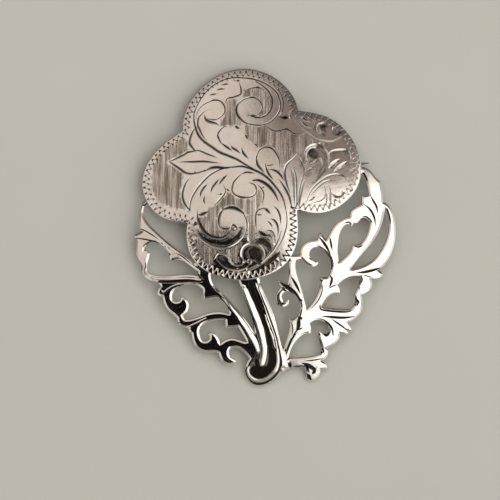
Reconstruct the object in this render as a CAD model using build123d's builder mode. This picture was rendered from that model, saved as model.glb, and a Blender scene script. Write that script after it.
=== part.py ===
"""Silver brooch: a domed four-lobed plate over sawn leaf scrolls on a curled stalk, and a pin behind it.

The brooch lies face up on its back. Millimetres, +Z up and +Y towards the top lobe, with the origin
under the middle of the plate, on the surface that the brooch rests on.
"""

from build123d import *
import os

# The plate: its overall size, its sheet and how far it is domed.
PLATE_WIDTH = 48.0
PLATE_HEIGHT = 58.0
SHEET_THICKNESS = 1.0
LOBE_RISE = 0.25
DOME_RADIUS = 90.0
DOME_CENTRE_Y = 1.0
FOOT_FLAT = 0.08

# The raised lines along the stalk.
RIB_RISE = 0.35
RIB_WIDTH = 0.55

# The pin and the fittings that hold it.
PIN_DIAMETER = 0.9
PIN_HEIGHT = 1.45
PIN_CLEARANCE = 0.06
POINT_LENGTH = 5.0
POINT_DIAMETER = 0.2
EYE_DIAMETER = 2.3
RIVET_DIAMETER = 0.8
HINGE_LENGTH = 3.2
HINGE_WIDTH = 3.3
CATCH_LENGTH = 2.2
CATCH_WIDTH = 2.5
FITTING_SINK = 0.5

# Where the pin's eye, the catch and the pin's point lie: hundredths of the plate's width and height.
HINGE_AT = (-36.6, 12.6)
CATCH_AT = (30.0, 19.2)
POINT_AT = (39.8, 20.3)

# Each lobe's outline from notch to notch, in the same shares. It starts where the one before it ends.
LOBES = {
    "top": [(-29.8, 37.6), (-22.0, 45.7), (-8.5, 50.0), (3.5, 47.3), (10.5, 41.6), (12.9, 36.6)],
    "right": [
        (17.5, 36.1), (24.0, 34.6), (31.0, 30.2), (35.5, 24.0), (36.7, 18.3),
        (35.4, 13.0), (31.0, 8.2), (24.0, 4.9), (16.5, 4.5), (12.3, 5.2),
    ],
    "bottom": [
        (12.7, 0.0), (11.8, -6.0), (7.6, -11.7), (0.0, -15.4),
        (-10.5, -16.6), (-20.8, -14.4), (-27.3, -9.8), (-29.6, -3.5), (-29.3, 1.2),
    ],
    "left": [
        (-34.0, 1.7), (-39.0, 3.1), (-44.5, 7.6), (-46.7, 14.5), (-44.2, 21.0), (-38.0, 26.6), (-31.3, 30.4),
    ],
}

# The outer edge of the leaves, from the left lobe round the curled foot to the right lobe, in the same
# shares, with a corner between each run and the next.
LEAF_EDGE = {
    "root": [(-44.0, 10.0)],
    "upper_finger": [(-46.3, 7.6), (-47.5, 4.6), (-47.8, 1.6), (-46.7, -1.1)],
    "middle_finger": [(-48.4, -1.9), (-49.6, -2.8), (-48.9, -3.5)],
    "hood": [(-49.0, -5.4), (-49.0, -8.0), (-47.8, -10.2), (-46.6, -11.8)],
    "hood_end": [(-46.6, -13.9), (-45.3, -15.8), (-43.2, -16.8), (-40.8, -17.3), (-39.6, -18.6)],
    "lower_finger": [(-40.7, -19.8), (-40.8, -20.9), (-39.7, -21.7), (-38.8, -21.9)],
    "first_scroll": [(-38.4, -23.6), (-37.0, -25.7), (-35.0, -27.3), (-33.2, -28.6)],
    "third_leaf": [(-33.1, -29.9), (-32.0, -31.1), (-30.2, -31.5), (-29.0, -31.8)],
    "third_leaf_finger": [(-28.7, -32.8), (-27.8, -33.5)],
    "second_scroll": [(-27.4, -35.6), (-25.8, -38.0), (-22.8, -39.3), (-19.6, -39.3), (-17.6, -39.5)],
    "fourth_leaf": [(-17.0, -41.0), (-15.9, -42.5), (-14.0, -43.3), (-12.0, -43.1), (-10.8, -42.3)],
    "fourth_leaf_tip": [
        (-11.4, -41.6), (-12.9, -40.8), (-13.5, -39.2), (-12.7, -38.0), (-10.6, -37.8), (-8.2, -38.9),
        (-5.8, -41.3),
    ],
    "foot": [
        (-7.1, -43.2), (-7.2, -45.9), (-5.6, -48.4), (-2.3, -50.0), (1.2, -49.3), (4.4, -47.5),
        (8.0, -45.1), (11.2, -44.1), (14.9, -44.1),
    ],
    "foot_scroll": [
        (15.6, -45.6), (16.0, -47.6), (17.3, -48.5), (19.4, -48.0), (21.2, -46.4), (21.4, -44.9),
    ],
    "foot_finger": [(22.8, -44.9), (24.1, -44.3), (23.4, -43.2), (21.7, -42.2)],
    "foot_leaf": [(22.6, -41.9), (23.6, -41.2), (24.2, -40.3), (24.1, -38.8), (23.3, -38.3)],
    "third_scroll": [(25.0, -37.7), (27.4, -36.3), (28.7, -34.6), (28.6, -33.3)],
    "low_finger": [(30.0, -33.7), (32.0, -33.4), (31.4, -32.5)],
    "middle_low_finger": [(33.3, -32.3), (32.6, -31.1), (31.6, -30.0)],
    "long_finger": [(33.4, -29.4), (35.4, -28.1)],
    "right_frame": [(36.9, -26.4), (37.4, -24.4), (37.0, -21.2)],
    "knob": [(38.7, -20.6), (40.6, -19.2), (41.0, -17.2), (40.2, -16.0)],
    "right_finger": [(41.6, -16.2), (43.2, -16.1), (44.9, -15.2), (43.3, -13.4)],
    "outer_arc": [(46.2, -11.3), (48.8, -7.4), (50.0, -2.4), (49.6, 2.4), (48.0, 6.2), (45.2, 8.0)],
    "right_stem": [(45.0, 10.6), (44.1, 14.5)],
    "right_stem_end": [(42.3, 15.8), (40.2, 17.9), (37.6, 19.0), (33.0, 19.0)],
}

# Each opening sawn through the leaves, run by run in the same way. The lobes cover what reaches them.
OPENINGS = {
    "upper_left": [
        [(-46.0, 4.6), (-44.6, 1.7), (-41.0, -1.4), (-35.0, -5.6), (-30.0, -8.5), (-26.3, -11.1)],
        [(-22.0, -6.0)],
        [(-25.0, 6.0)],
        [(-38.0, 8.0)],
        [(-45.6, 6.6)],
    ],
    "left": [
        [(-42.6, -4.8), (-45.0, -5.8), (-45.8, -7.2)],
        [(-44.4, -7.4), (-43.6, -8.2)],
        [(-44.2, -10.4), (-44.7, -12.6), (-43.6, -14.4)],
        [(-39.6, -15.2), (-34.0, -15.0), (-29.0, -14.8), (-25.4, -15.2)],
        [(-25.2, -13.9)],
        [(-29.0, -11.6), (-32.2, -10.2), (-34.2, -10.2), (-35.9, -10.8)],
        [(-36.3, -8.0)],
        [(-38.2, -6.2), (-40.4, -5.0)],
    ],
    "first_scroll": [
        [
            (-26.4, -18.0), (-30.2, -18.0), (-33.6, -19.3), (-35.1, -21.3), (-34.4, -23.1), (-32.8, -23.2),
            (-31.9, -21.8),
        ],
        [(-30.2, -22.2), (-28.8, -24.0), (-29.2, -26.2), (-31.0, -27.8)],
        [(-30.2, -28.9)],
        [(-26.8, -28.6), (-22.6, -27.2), (-18.4, -26.5), (-13.5, -27.1)],
        [(-14.6, -24.2), (-18.5, -22.0)],
        [(-20.6, -22.3), (-23.2, -22.8)],
        [(-23.5, -19.4)],
    ],
    "second_scroll": [
        [
            (-18.4, -29.0), (-22.0, -29.9), (-24.4, -31.5), (-24.6, -34.1), (-22.9, -35.8), (-21.2, -35.2),
            (-21.7, -33.4),
        ],
        [(-19.4, -33.2), (-17.6, -34.8), (-16.8, -36.5)],
        [(-15.0, -35.4), (-12.2, -34.8), (-9.4, -35.4), (-6.8, -36.0)],
        [(-8.4, -33.6), (-10.1, -31.2)],
        [(-12.2, -31.5), (-14.8, -31.4)],
        [(-15.0, -29.2)],
    ],
    "stalk_left": [
        [(-20.3, -15.8), (-19.4, -17.8), (-15.6, -21.1), (-11.2, -25.0), (-7.6, -28.5), (-3.9, -33.1)],
        [(-4.2, -30.2), (-5.8, -26.0), (-8.4, -20.4), (-10.6, -14.0)],
        [(-15.0, -12.0)],
        [(-20.2, -14.0)],
    ],
    "stalk_right": [
        [(-1.3, -18.0), (1.6, -23.6), (4.2, -28.8), (5.7, -34.2), (7.1, -38.3)],
        [(8.2, -35.4), (9.4, -31.4), (8.9, -28.1)],
        [(10.4, -28.9), (12.2, -28.2)],
        [
            (13.4, -25.6), (12.7, -22.4), (10.7, -20.6), (8.2, -20.2), (6.7, -21.2), (7.2, -23.0),
            (8.9, -22.5),
        ],
        [(9.3, -23.8), (7.6, -25.0), (5.2, -24.6), (4.3, -22.0), (5.2, -19.6)],
        [(6.0, -18.9)],
        [(4.7, -16.4)],
        [(7.0, -16.9), (8.7, -17.5)],
        [(9.0, -16.0)],
        [(9.2, -13.6), (9.0, -10.6)],
        [(5.0, -8.0)],
        [(-2.6, -12.0)],
    ],
    "low_right": [
        [(10.2, -38.4), (12.4, -35.4), (14.8, -33.8), (17.5, -33.4)],
        [(17.7, -31.8), (17.3, -30.2)],
        [(19.8, -29.2), (22.6, -29.7), (24.4, -31.6), (24.0, -33.3), (22.4, -33.4), (20.9, -32.6)],
        [(20.6, -34.8), (21.7, -37.8), (20.9, -39.9)],
        [(17.6, -40.7), (13.0, -41.1), (9.2, -41.2)],
    ],
    "middle": [
        [(15.2, -22.8), (13.4, -17.6), (11.9, -13.2), (12.0, -10.3)],
        [(14.0, -9.9)],
        [(16.2, -11.7), (18.6, -12.4), (20.5, -11.2)],
        [
            (19.2, -10.2), (17.3, -9.2), (17.4, -7.3), (19.4, -6.3), (22.2, -7.3), (24.5, -9.3),
            (25.3, -12.4), (23.9, -15.6),
        ],
        [(20.9, -15.8)],
        [(20.9, -18.2), (19.4, -22.0), (16.0, -25.6)],
    ],
    "right_frame": [
        [(26.0, -25.4), (30.0, -25.6), (33.0, -25.4), (34.3, -23.8), (33.8, -21.4)],
        [(35.0, -19.4), (36.0, -16.8), (36.3, -15.4)],
        [(33.2, -15.4), (30.4, -16.3), (27.8, -18.2)],
        [(28.4, -19.0), (28.6, -20.8)],
        [(25.4, -20.9), (23.6, -22.2), (21.6, -24.8)],
    ],
    "loop": [
        [(27.8, -8.4), (28.0, -4.6), (29.2, -0.8), (31.0, 0.8), (33.2, 0.2)],
        [(33.9, 1.3)],
        [(35.4, 1.5), (37.0, 2.9), (38.7, 2.7), (40.0, 1.5)],
        [(39.4, -0.8), (37.8, -3.8), (35.6, -5.3), (33.2, -5.4)],
        [(32.8, -7.0), (31.0, -9.0), (28.3, -10.9)],
    ],
    "outer_arc": [
        [(45.2, 3.2), (43.7, -0.8), (40.4, -5.2), (36.2, -9.2), (32.7, -13.1)],
        [(37.6, -12.0), (42.0, -9.6), (45.6, -5.2), (47.3, 0.2), (45.8, 5.9)],
    ],
    "under_right_lobe": [
        [(38.0, 15.6), (39.1, 12.6), (39.6, 10.2)],
        [(36.8, 9.9)],
        [(36.8, 7.2)],
        [(34.6, 6.4), (33.0, 5.4), (32.3, 3.3)],
        [(29.2, 2.5), (26.3, 0.4), (24.6, -2.0), (24.0, -3.0)],
        [(23.4, -3.9)],
        [(22.6, -2.9), (21.1, -1.6)],
        [(20.4, -2.8), (19.9, -3.8)],
        [(17.0, -4.2), (14.5, -5.5), (13.5, -8.6)],
        [(10.4, -8.7)],
        [(6.0, -4.0)],
        [(8.0, 8.0)],
        [(25.0, 12.0)],
        [(33.0, 16.0)],
        [(37.0, 16.9)],
    ],
}

# The raised lines of the stalk, in the same shares.
RIBS = {
    "ridge": [(-7.4, -17.6), (-4.4, -24.0), (-1.8, -29.8), (-0.2, -35.0), (0.4, -39.6), (-0.6, -43.6)],
    "rim": [
        (-2.4, -17.6), (0.4, -24.0), (3.0, -30.0), (4.6, -36.0), (5.0, -41.0), (3.4, -45.3),
        (0.0, -47.6), (-3.4, -48.0), (-5.9, -46.0), (-5.6, -43.6),
    ],
}

# Deep enough to pass through the dome anywhere, and how finely a raised line follows its curve.
TOOL_HEIGHT = 30.0
RIBBON_STATIONS = 24


def place(share_x, share_y):
    """A point of the plate, from hundredths of its width and height."""
    return Vector(share_x / 100 * PLATE_WIDTH, share_y / 100 * PLATE_HEIGHT)


def drop(point):
    """How far the dome has fallen at a point, below its top."""
    return DOME_RADIUS - (DOME_RADIUS**2 - point.X**2 - (point.Y - DOME_CENTRE_Y) ** 2) ** 0.5


# The back's lowest edges, at the foot, are ground flat where they touch the surface.
EDGE_DROP = max(drop(place(*row)) for run in LEAF_EDGE.values() for row in run)
BACK_TOP = EDGE_DROP - FOOT_FLAT


def traced(runs):
    """The face inside a closed outline, with a corner between each run and the next."""
    with BuildSketch() as face:
        with BuildLine():
            start = place(*runs[-1][-1])
            for run in runs:
                points = [start] + [place(*row) for row in run]
                if len(points) > 2:
                    Spline(*points)
                else:
                    Line(*points)
                start = points[-1]
        make_face()
    return face.sketch


def ribbon(rows, width):
    """A band of even width along a curve, with round ends."""
    path = Spline(*[place(*row) for row in rows], mode=Mode.PRIVATE)
    shares = [station / RIBBON_STATIONS for station in range(RIBBON_STATIONS + 1)]
    half = width / 2
    left = [path.position_at(share) + path.tangent_at(share).rotate(Axis.Z, 90) * half for share in shares]
    right = [path.position_at(share) + path.tangent_at(share).rotate(Axis.Z, -90) * half for share in shares]
    with BuildSketch() as band:
        with BuildLine():
            Spline(*left)
            ThreePointArc(left[-1], path.position_at(1) + path.tangent_at(1) * half, right[-1])
            Spline(*reversed(right))
            ThreePointArc(right[0], path.position_at(0) - path.tangent_at(0) * half, left[0])
        make_face()
    return band.sketch


def domed(face, rise):
    """A face cut out of the domed sheet, from the sheet's back to a height above it."""
    # The spheres' poles and seams are turned away from the plate.
    centre = Location((0, DOME_CENTRE_Y, BACK_TOP - DOME_RADIUS), (90, 0, 0))
    with BuildPart() as piece:
        with BuildSketch(Plane.XY.offset(-TOOL_HEIGHT / 2)):
            add(face)
        extrude(amount=TOOL_HEIGHT)
        with Locations(centre):
            Sphere(DOME_RADIUS + rise, mode=Mode.INTERSECT)
        with Locations(centre):
            Sphere(DOME_RADIUS, mode=Mode.SUBTRACT)
    return piece.part


# The outlines.
with BuildSketch() as leaves:
    add(traced(list(LEAF_EDGE.values())))
    for runs in OPENINGS.values():
        add(traced(runs), mode=Mode.SUBTRACT)

with BuildSketch() as lobes:
    add(traced(list(LOBES.values())))

# Where the pin runs, behind the plate from the hinge to beyond the right lobe.
hinge_at = place(*HINGE_AT)
catch_at = place(*CATCH_AT)
point_at = place(*POINT_AT)
along_pin = (point_at - hinge_at).normalized()
across_pin = along_pin.cross(Vector(0, 0, 1))
pin_reach = (point_at - hinge_at).length
catch_reach = (catch_at - hinge_at).dot(along_pin)
pin_level = Vector(0, 0, PIN_HEIGHT)
pin_start = hinge_at + pin_level
catch_start = hinge_at + along_pin * catch_reach + pin_level
side_of_hinge = Plane(origin=pin_start, x_dir=along_pin, z_dir=across_pin)
side_of_catch = Plane(origin=catch_start, x_dir=along_pin, z_dir=across_pin)
end_of_catch = Plane(origin=catch_start, x_dir=across_pin, z_dir=along_pin)

seat_radius = PIN_DIAMETER / 2 + PIN_CLEARANCE
slot_width = 2 * seat_radius
slot_top = EYE_DIAMETER / 2 + PIN_CLEARANCE
hinge_top = BACK_TOP - drop(hinge_at) + FITTING_SINK - PIN_HEIGHT
catch_top = BACK_TOP - drop(catch_start) + FITTING_SINK - PIN_HEIGHT

# The plate: the sawn leaves, the thicker lobes, the stalk's raised lines and the soldered fittings.
with BuildPart() as plate:
    add(domed(leaves.sketch, SHEET_THICKNESS))
    add(domed(lobes.sketch, SHEET_THICKNESS + LOBE_RISE))
    for rows in RIBS.values():
        add(domed(ribbon(rows, RIB_WIDTH), SHEET_THICKNESS + RIB_RISE))
    split(bisect_by=Plane.XY, keep=Keep.TOP)
    # The hinge: two cheeks and the rivet that the pin's eye turns on.
    with BuildSketch(side_of_hinge):
        with Locations((0, -PIN_HEIGHT)):
            Rectangle(HINGE_LENGTH, PIN_HEIGHT + hinge_top, align=(Align.CENTER, Align.MIN))
    extrude(amount=HINGE_WIDTH / 2, both=True)
    with BuildSketch(side_of_hinge):
        with Locations((0, slot_top)):
            Rectangle(2 * HINGE_LENGTH, 2 * PIN_HEIGHT + slot_top, align=(Align.CENTER, Align.MAX))
    extrude(amount=slot_width / 2, both=True, mode=Mode.SUBTRACT)
    with BuildSketch(side_of_hinge):
        Circle(RIVET_DIAMETER / 2)
    extrude(amount=HINGE_WIDTH / 2, both=True)
    # The catch: a block that the pin drops into from the side.
    with BuildSketch(side_of_catch):
        with Locations((0, -PIN_HEIGHT)):
            Rectangle(CATCH_LENGTH, PIN_HEIGHT + catch_top, align=(Align.CENTER, Align.MIN))
    extrude(amount=CATCH_WIDTH / 2, both=True)
    with BuildSketch(end_of_catch):
        Circle(seat_radius)
        Rectangle(CATCH_WIDTH, 2 * seat_radius, align=(Align.MIN, Align.CENTER))
    extrude(amount=CATCH_LENGTH, both=True, mode=Mode.SUBTRACT)

# The pin: a wire with an eye at the hinge and a tapered point.
with BuildPart() as pin_stem:
    with BuildSketch(Plane(origin=pin_start, x_dir=across_pin, z_dir=along_pin)):
        Circle(PIN_DIAMETER / 2)
    extrude(amount=pin_reach - POINT_LENGTH)
    with BuildSketch(Plane(origin=pin_start + along_pin * (pin_reach - POINT_LENGTH), z_dir=along_pin)):
        Circle(PIN_DIAMETER / 2)
    with BuildSketch(Plane(origin=pin_start + along_pin * pin_reach, z_dir=along_pin)):
        Circle(POINT_DIAMETER / 2)
    loft()
    with BuildSketch(side_of_hinge):
        Circle(EYE_DIAMETER / 2)
    extrude(amount=PIN_DIAMETER / 2, both=True)
    with BuildSketch(side_of_hinge):
        Circle(RIVET_DIAMETER / 2 + PIN_CLEARANCE)
    extrude(amount=PIN_DIAMETER, both=True, mode=Mode.SUBTRACT)

os.makedirs("parts", exist_ok=True)
plate.part.label = "plate"
export_step(plate.part, "parts/plate.step")
pin_stem.part.label = "pin_stem"
export_step(pin_stem.part, "parts/pin_stem.step")
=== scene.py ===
"""The silver brooch's looks: its engraved lobes, sawn leaves, plain back and pin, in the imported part's frame."""

import math
import random

import bmesh
import bpy
import numpy as np
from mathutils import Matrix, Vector
from mathutils.geometry import delaunay_2d_cdt
from mathutils.kdtree import KDTree


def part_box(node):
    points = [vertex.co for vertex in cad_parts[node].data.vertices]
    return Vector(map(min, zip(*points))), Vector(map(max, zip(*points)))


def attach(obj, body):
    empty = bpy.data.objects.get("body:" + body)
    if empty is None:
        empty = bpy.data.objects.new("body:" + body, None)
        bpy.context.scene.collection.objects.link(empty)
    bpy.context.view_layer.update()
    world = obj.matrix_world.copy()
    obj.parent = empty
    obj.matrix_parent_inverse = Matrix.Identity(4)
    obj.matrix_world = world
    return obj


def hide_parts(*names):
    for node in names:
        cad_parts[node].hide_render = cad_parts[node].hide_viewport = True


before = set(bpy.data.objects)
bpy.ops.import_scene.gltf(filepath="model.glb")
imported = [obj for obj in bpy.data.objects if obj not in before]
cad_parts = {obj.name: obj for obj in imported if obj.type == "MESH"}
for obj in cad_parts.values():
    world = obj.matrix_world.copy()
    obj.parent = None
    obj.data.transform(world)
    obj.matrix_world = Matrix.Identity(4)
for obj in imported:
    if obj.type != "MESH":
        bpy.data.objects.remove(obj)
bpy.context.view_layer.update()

# The plate in millimetres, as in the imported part. Tables below hold hundredths of its width and height.
MM = 0.001
SHARE = np.array((0.48, 0.58))
BACK_RADIUS = 90.0
LEAF_RADIUS = 91.0
LOBE_RADIUS = 91.25
RIB_RADIUS = 91.35
DOME_CENTRE = np.array((0.0, 1.0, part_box("plate")[1].z / MM - LOBE_RADIUS))

# The photograph's frame: how many millimetres it is wide, and the point under its middle.
VIEW_WIDTH = 90.9
VIEW_MIDDLE = (-2.64, -4.14)
CAMERA_HEIGHT = 600.0

# Each line cut into the lobes, in hundredths of the plate's width and height: its width in mm, how far its
# deepest line leans to its left, how wide its two ends are as shares of its width, and the points it runs through.
LOBE_CUTS = [
    # The top lobe: the long leaf's edge and the stem down to the fan.
    (0.34, 0.0, 0.4, 0.9, [(-4.0, 46.7), (-10.0, 47.1), (-14.2, 46.8), (-18.0, 45.5), (-21.2, 43.5), (-23.6, 41.2), (-25.6, 38.4), (-26.6, 36.2)]),
    (0.62, 0.0, 0.4, 0.5, [(-26.6, 36.6), (-26.85, 34.8), (-26.7, 33.0), (-26.1, 31.1), (-25.0, 28.9), (-22.9, 26.9), (-20.0, 25.2), (-17.0, 23.5), (-13.8, 22.4), (-10.4, 21.2), (-7.4, 19.7), (-4.4, 18.3)]),
    (0.46, 0.0, 0.15, 0.1, [(-21.4, 37.0), (-22.5, 36.6), (-24.0, 35.6), (-25.0, 34.5), (-25.3, 33.3), (-25.3, 31.9), (-24.75, 31.0), (-23.85, 29.3), (-22.75, 28.0), (-21.75, 27.2)]),
    (0.36, 0.0, 0.3, 0.5, [(-25.95, 33.8), (-25.85, 35.1), (-25.5, 36.2), (-24.4, 37.7), (-22.8, 38.8), (-20.2, 39.8), (-18.2, 39.95), (-16.6, 39.55), (-15.4, 38.4), (-15.05, 37.0), (-15.5, 35.6), (-17.3, 34.3), (-19.2, 33.75), (-22.0, 34.05)]),
    (0.58, 0.3, 0.3, 0.1, [(-22.7, 35.1), (-22.5, 34.2), (-21.8, 33.4), (-20.2, 32.9), (-18.6, 32.6), (-17.2, 31.9)]),
    (0.46, -0.2, 0.3, 0.3, [(-9.5, 45.2), (-9.05, 44.1), (-8.8, 43.0), (-9.0, 42.0), (-10.3, 41.35), (-12.6, 40.75), (-14.1, 40.5), (-14.7, 39.4)]),
    (0.46, 0.0, 0.3, 0.1, [(-11.0, 46.2), (-9.3, 46.15)]),
    (0.34, 0.4, 0.0, 0.0, [(-16.7, 44.7), (-15.0, 45.0), (-13.2, 45.1)]),
    (0.34, 0.4, 0.0, 0.0, [(-18.7, 43.1), (-16.7, 43.45), (-14.7, 43.5)]),
    (0.34, 0.4, 0.0, 0.0, [(-21.2, 41.6), (-19.0, 41.85), (-17.8, 42.1)]),
    # The top lobe: the big scroll's ring, its inner edge and the ball in it.
    (0.42, 0.0, 0.5, 0.5, [(-10.0, 47.05), (-5.9, 46.85), (-1.9, 46.0), (1.6, 44.6), (4.35, 42.7), (5.8, 40.2), (6.05, 37.8), (5.2, 35.7), (2.9, 33.5), (0.7, 32.5), (-2.2, 32.0), (-5.3, 32.25), (-6.9, 32.6)]),
    (0.62, 0.0, 0.5, 0.4, [(-6.6, 32.5), (-8.2, 33.3), (-9.6, 34.5), (-10.5, 35.8), (-10.75, 37.0), (-10.4, 38.2), (-9.3, 39.4)]),
    (0.36, 0.0, 0.8, 0.6, [(-10.2, 38.5), (-8.9, 39.6), (-7.3, 40.4), (-5.3, 40.8), (-3.4, 40.6), (-1.9, 39.75), (-1.0, 38.5), (-0.95, 37.3), (-1.6, 36.2), (-3.0, 35.2)]),
    (0.5, -0.2, 0.5, 0.6, [(-3.3, 45.9), (-0.6, 44.6), (1.6, 42.9), (2.8, 41.0), (3.1, 39.0), (2.5, 36.9), (0.9, 35.3), (-1.1, 34.5), (-3.3, 34.4), (-5.3, 35.0)]),
    (0.42, 0.0, 0.4, 0.1, [(-5.6, 35.1), (-2.9, 34.95)]),
    (0.34, 0.0, 0.2, 0.1, [(-6.7, 43.5), (-4.2, 43.95), (-1.8, 43.9), (0.0, 42.8)]),
    (0.34, 0.5, 0.4, 0.4, [(4.9, 43.9), (6.3, 41.6), (7.0, 39.0), (6.7, 36.6), (5.9, 35.2)]),
    # The top lobe: the leaf edge over the fan and the deep hollow beside it.
    (0.4, 0.3, 0.3, 0.5, [(0.7, 31.55), (3.0, 30.3), (5.0, 30.15), (7.6, 30.7), (9.0, 30.45), (10.9, 29.35), (12.4, 29.15), (14.7, 29.15)]),
    (0.6, 0.0, 0.4, 0.5, [(6.3, 34.6), (7.4, 34.4), (8.7, 34.4)]),
    (0.4, 0.4, 0.1, 0.1, [(9.3, 35.6), (9.9, 34.5), (9.8, 33.4)]),
    # The pale leaf left of the fan.
    (0.44, 0.0, 0.1, 0.2, [(-14.0, 31.7), (-15.8, 31.3), (-17.0, 30.3), (-17.8, 29.0), (-17.4, 28.0), (-16.6, 26.6), (-15.2, 25.5)]),
    (0.5, 0.0, 0.4, 0.0, [(-15.9, 26.1), (-14.6, 25.3), (-13.4, 24.6), (-12.2, 23.8)]),
    (0.55, 0.0, 0.1, 0.0, [(-12.9, 25.7), (-12.0, 24.8), (-10.6, 24.1), (-9.0, 23.0)]),
    (0.55, 0.0, 0.1, 0.0, [(-8.75, 25.1), (-8.5, 24.0), (-7.6, 22.8), (-6.0, 21.3)]),
    (0.6, 0.0, 0.1, 0.1, [(-11.4, 31.9), (-10.6, 31.4), (-9.4, 30.9)]),
    (0.45, 0.0, 0.1, 0.1, [(-7.7, 29.0), (-6.9, 28.5), (-6.4, 27.5)]),
    (0.4, 0.0, 0.1, 0.1, [(-4.0, 26.1), (-2.6, 25.6)]),
    # The left lobe: the pointed leaf, its vein and the stems that join it.
    (0.56, 0.0, 0.3, 0.4, [(-36.0, 20.6), (-33.8, 21.5), (-31.0, 22.6), (-29.2, 23.45), (-26.6, 23.85)]),
    (0.38, 0.0, 0.5, 0.0, [(-26.4, 24.0), (-25.4, 24.1), (-23.9, 23.75), (-21.5, 22.85), (-19.3, 22.2), (-17.4, 21.5)]),
    (0.58, 0.0, 0.3, 0.4, [(-36.1, 20.6), (-34.7, 19.8), (-31.9, 18.2), (-30.2, 17.2), (-28.1, 16.75), (-25.9, 16.95)]),
    (0.3, 0.0, 0.6, 0.8, [(-27.2, 16.9), (-25.9, 16.95), (-24.3, 17.25), (-22.6, 17.85)]),
    (0.66, 0.0, 0.3, 0.4, [(-22.9, 17.5), (-20.6, 18.45), (-18.2, 18.75), (-15.3, 18.6), (-13.6, 18.5)]),
    (0.52, 0.0, 0.5, 0.5, [(-14.6, 18.75), (-12.0, 18.8), (-9.0, 19.05), (-6.3, 18.6), (-3.4, 17.7), (-0.6, 16.5), (1.8, 14.9), (4.3, 12.5), (6.1, 10.4), (7.2, 8.3), (7.9, 6.0)]),
    (0.46, 0.0, 0.05, 0.05, [(-33.0, 20.4), (-30.3, 20.5), (-27.0, 20.5), (-23.0, 20.6), (-20.0, 20.35), (-16.2, 20.0)]),
    (0.62, 0.0, 0.3, 0.5, [(-26.1, 31.4), (-27.1, 30.3), (-28.1, 28.4), (-28.45, 26.6), (-27.9, 25.6), (-26.3, 23.9)]),
    (0.5, -0.2, 0.5, 0.4, [(-28.3, 5.3), (-28.2, 7.4), (-27.3, 9.7), (-25.4, 12.3), (-22.8, 14.8), (-20.4, 16.6), (-17.3, 17.95), (-14.2, 18.6)]),
    (0.56, 0.0, 0.4, 0.1, [(-28.2, 5.3), (-29.4, 6.4), (-30.5, 7.9), (-31.1, 10.0), (-30.8, 11.8), (-29.8, 14.0), (-28.1, 15.5)]),
    (0.46, 0.3, 0.1, 0.1, [(-24.3, 9.4), (-24.0, 10.9), (-23.1, 12.1), (-21.6, 13.5)]),
    (0.44, 0.0, 0.1, 0.1, [(-22.8, 9.9), (-23.0, 8.6), (-22.6, 7.3)]),
    (0.46, 0.3, 0.1, 0.1, [(-20.4, 10.8), (-19.7, 12.4), (-18.7, 13.5), (-17.1, 15.1)]),
    (0.46, 0.3, 0.1, 0.1, [(-17.3, 13.3), (-15.9, 14.9), (-14.1, 16.4)]),
    (0.42, 0.3, 0.1, 0.1, [(-15.5, 13.1), (-14.9, 12.0), (-15.2, 10.6), (-16.5, 9.1), (-18.2, 7.6), (-20.0, 6.6)]),
    (0.36, 0.0, 0.2, 0.1, [(-14.6, 11.95), (-13.1, 11.3)]),
    (0.42, 0.0, 0.3, 0.3, [(-17.2, 10.3), (-16.0, 10.4)]),
    # The middle: the ring over the bottom lobe and the cuts beside it.
    (0.4, 0.0, 0.2, 0.1, [(-9.2, 16.4), (-8.2, 16.9), (-6.6, 17.2), (-4.8, 17.0), (-3.4, 16.8)]),
    (0.4, -0.5, 0.4, 0.5, [(-8.9, 16.5), (-10.4, 15.3), (-11.7, 13.9), (-12.2, 12.2), (-11.9, 11.0), (-10.7, 10.1), (-8.5, 9.35), (-6.2, 9.45), (-4.4, 9.9), (-3.4, 10.8), (-3.15, 12.1), (-3.9, 13.3), (-5.3, 13.8)]),
    (0.74, 0.0, 0.5, 0.1, [(-4.4, 14.65), (-2.8, 14.75), (-1.2, 14.35), (1.0, 13.25), (3.0, 11.6), (4.1, 10.2), (5.3, 8.0)]),
    (0.34, 0.0, 0.1, 0.1, [(-2.7, 13.4), (-1.4, 12.3), (-0.5, 10.9), (-0.4, 9.6), (-0.75, 7.9), (-0.7, 6.6)]),
    (0.34, 0.0, 0.1, 0.1, [(-1.0, 12.2), (-0.2, 12.7)]),
    # The middle: the ring left of the fan and the cuts that run down from it.
    (0.4, 0.0, 0.4, 0.3, [(-2.85, 21.9), (-2.7, 23.0), (-1.9, 24.2), (-0.3, 24.95), (1.6, 25.0), (3.3, 24.3), (4.7, 22.7), (5.6, 20.9), (5.75, 18.2)]),
    (0.58, 0.0, 0.4, 0.1, [(-3.1, 22.4), (-3.1, 20.9), (-2.4, 19.3), (-1.0, 17.9), (0.0, 16.9)]),
    (0.5, 0.0, 0.3, 0.2, [(0.2, 19.8), (0.65, 18.3), (1.6, 16.7), (3.2, 14.9)]),
    (0.26, 0.4, 0.3, 0.1, [(0.4, 19.45), (2.1, 19.35), (3.5, 19.7)]),
    (0.52, 0.0, 0.3, 0.1, [(1.8, 18.1), (3.2, 17.95), (4.7, 17.4), (6.2, 16.2), (7.4, 14.5)]),
    (0.56, 0.0, 0.3, 0.3, [(5.8, 14.6), (7.0, 13.1), (8.5, 11.0), (9.4, 9.2), (10.3, 6.1)]),
    # The fan's dark leaf, its vein and the stems beside it.
    (0.46, 0.6, 0.2, 0.3, [(12.1, 22.9), (10.6, 21.4), (8.6, 19.9), (7.7, 18.2), (7.6, 16.2), (8.4, 13.4), (9.5, 11.0)]),
    (0.4, -0.4, 0.2, 0.3, [(12.2, 22.8), (13.5, 21.2), (14.8, 19.2), (15.6, 17.6)]),
    (0.46, 0.3, 0.1, 0.4, [(10.4, 19.2), (11.2, 17.8), (11.8, 15.8), (12.0, 13.0), (12.1, 9.0), (12.2, 6.4)]),
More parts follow.
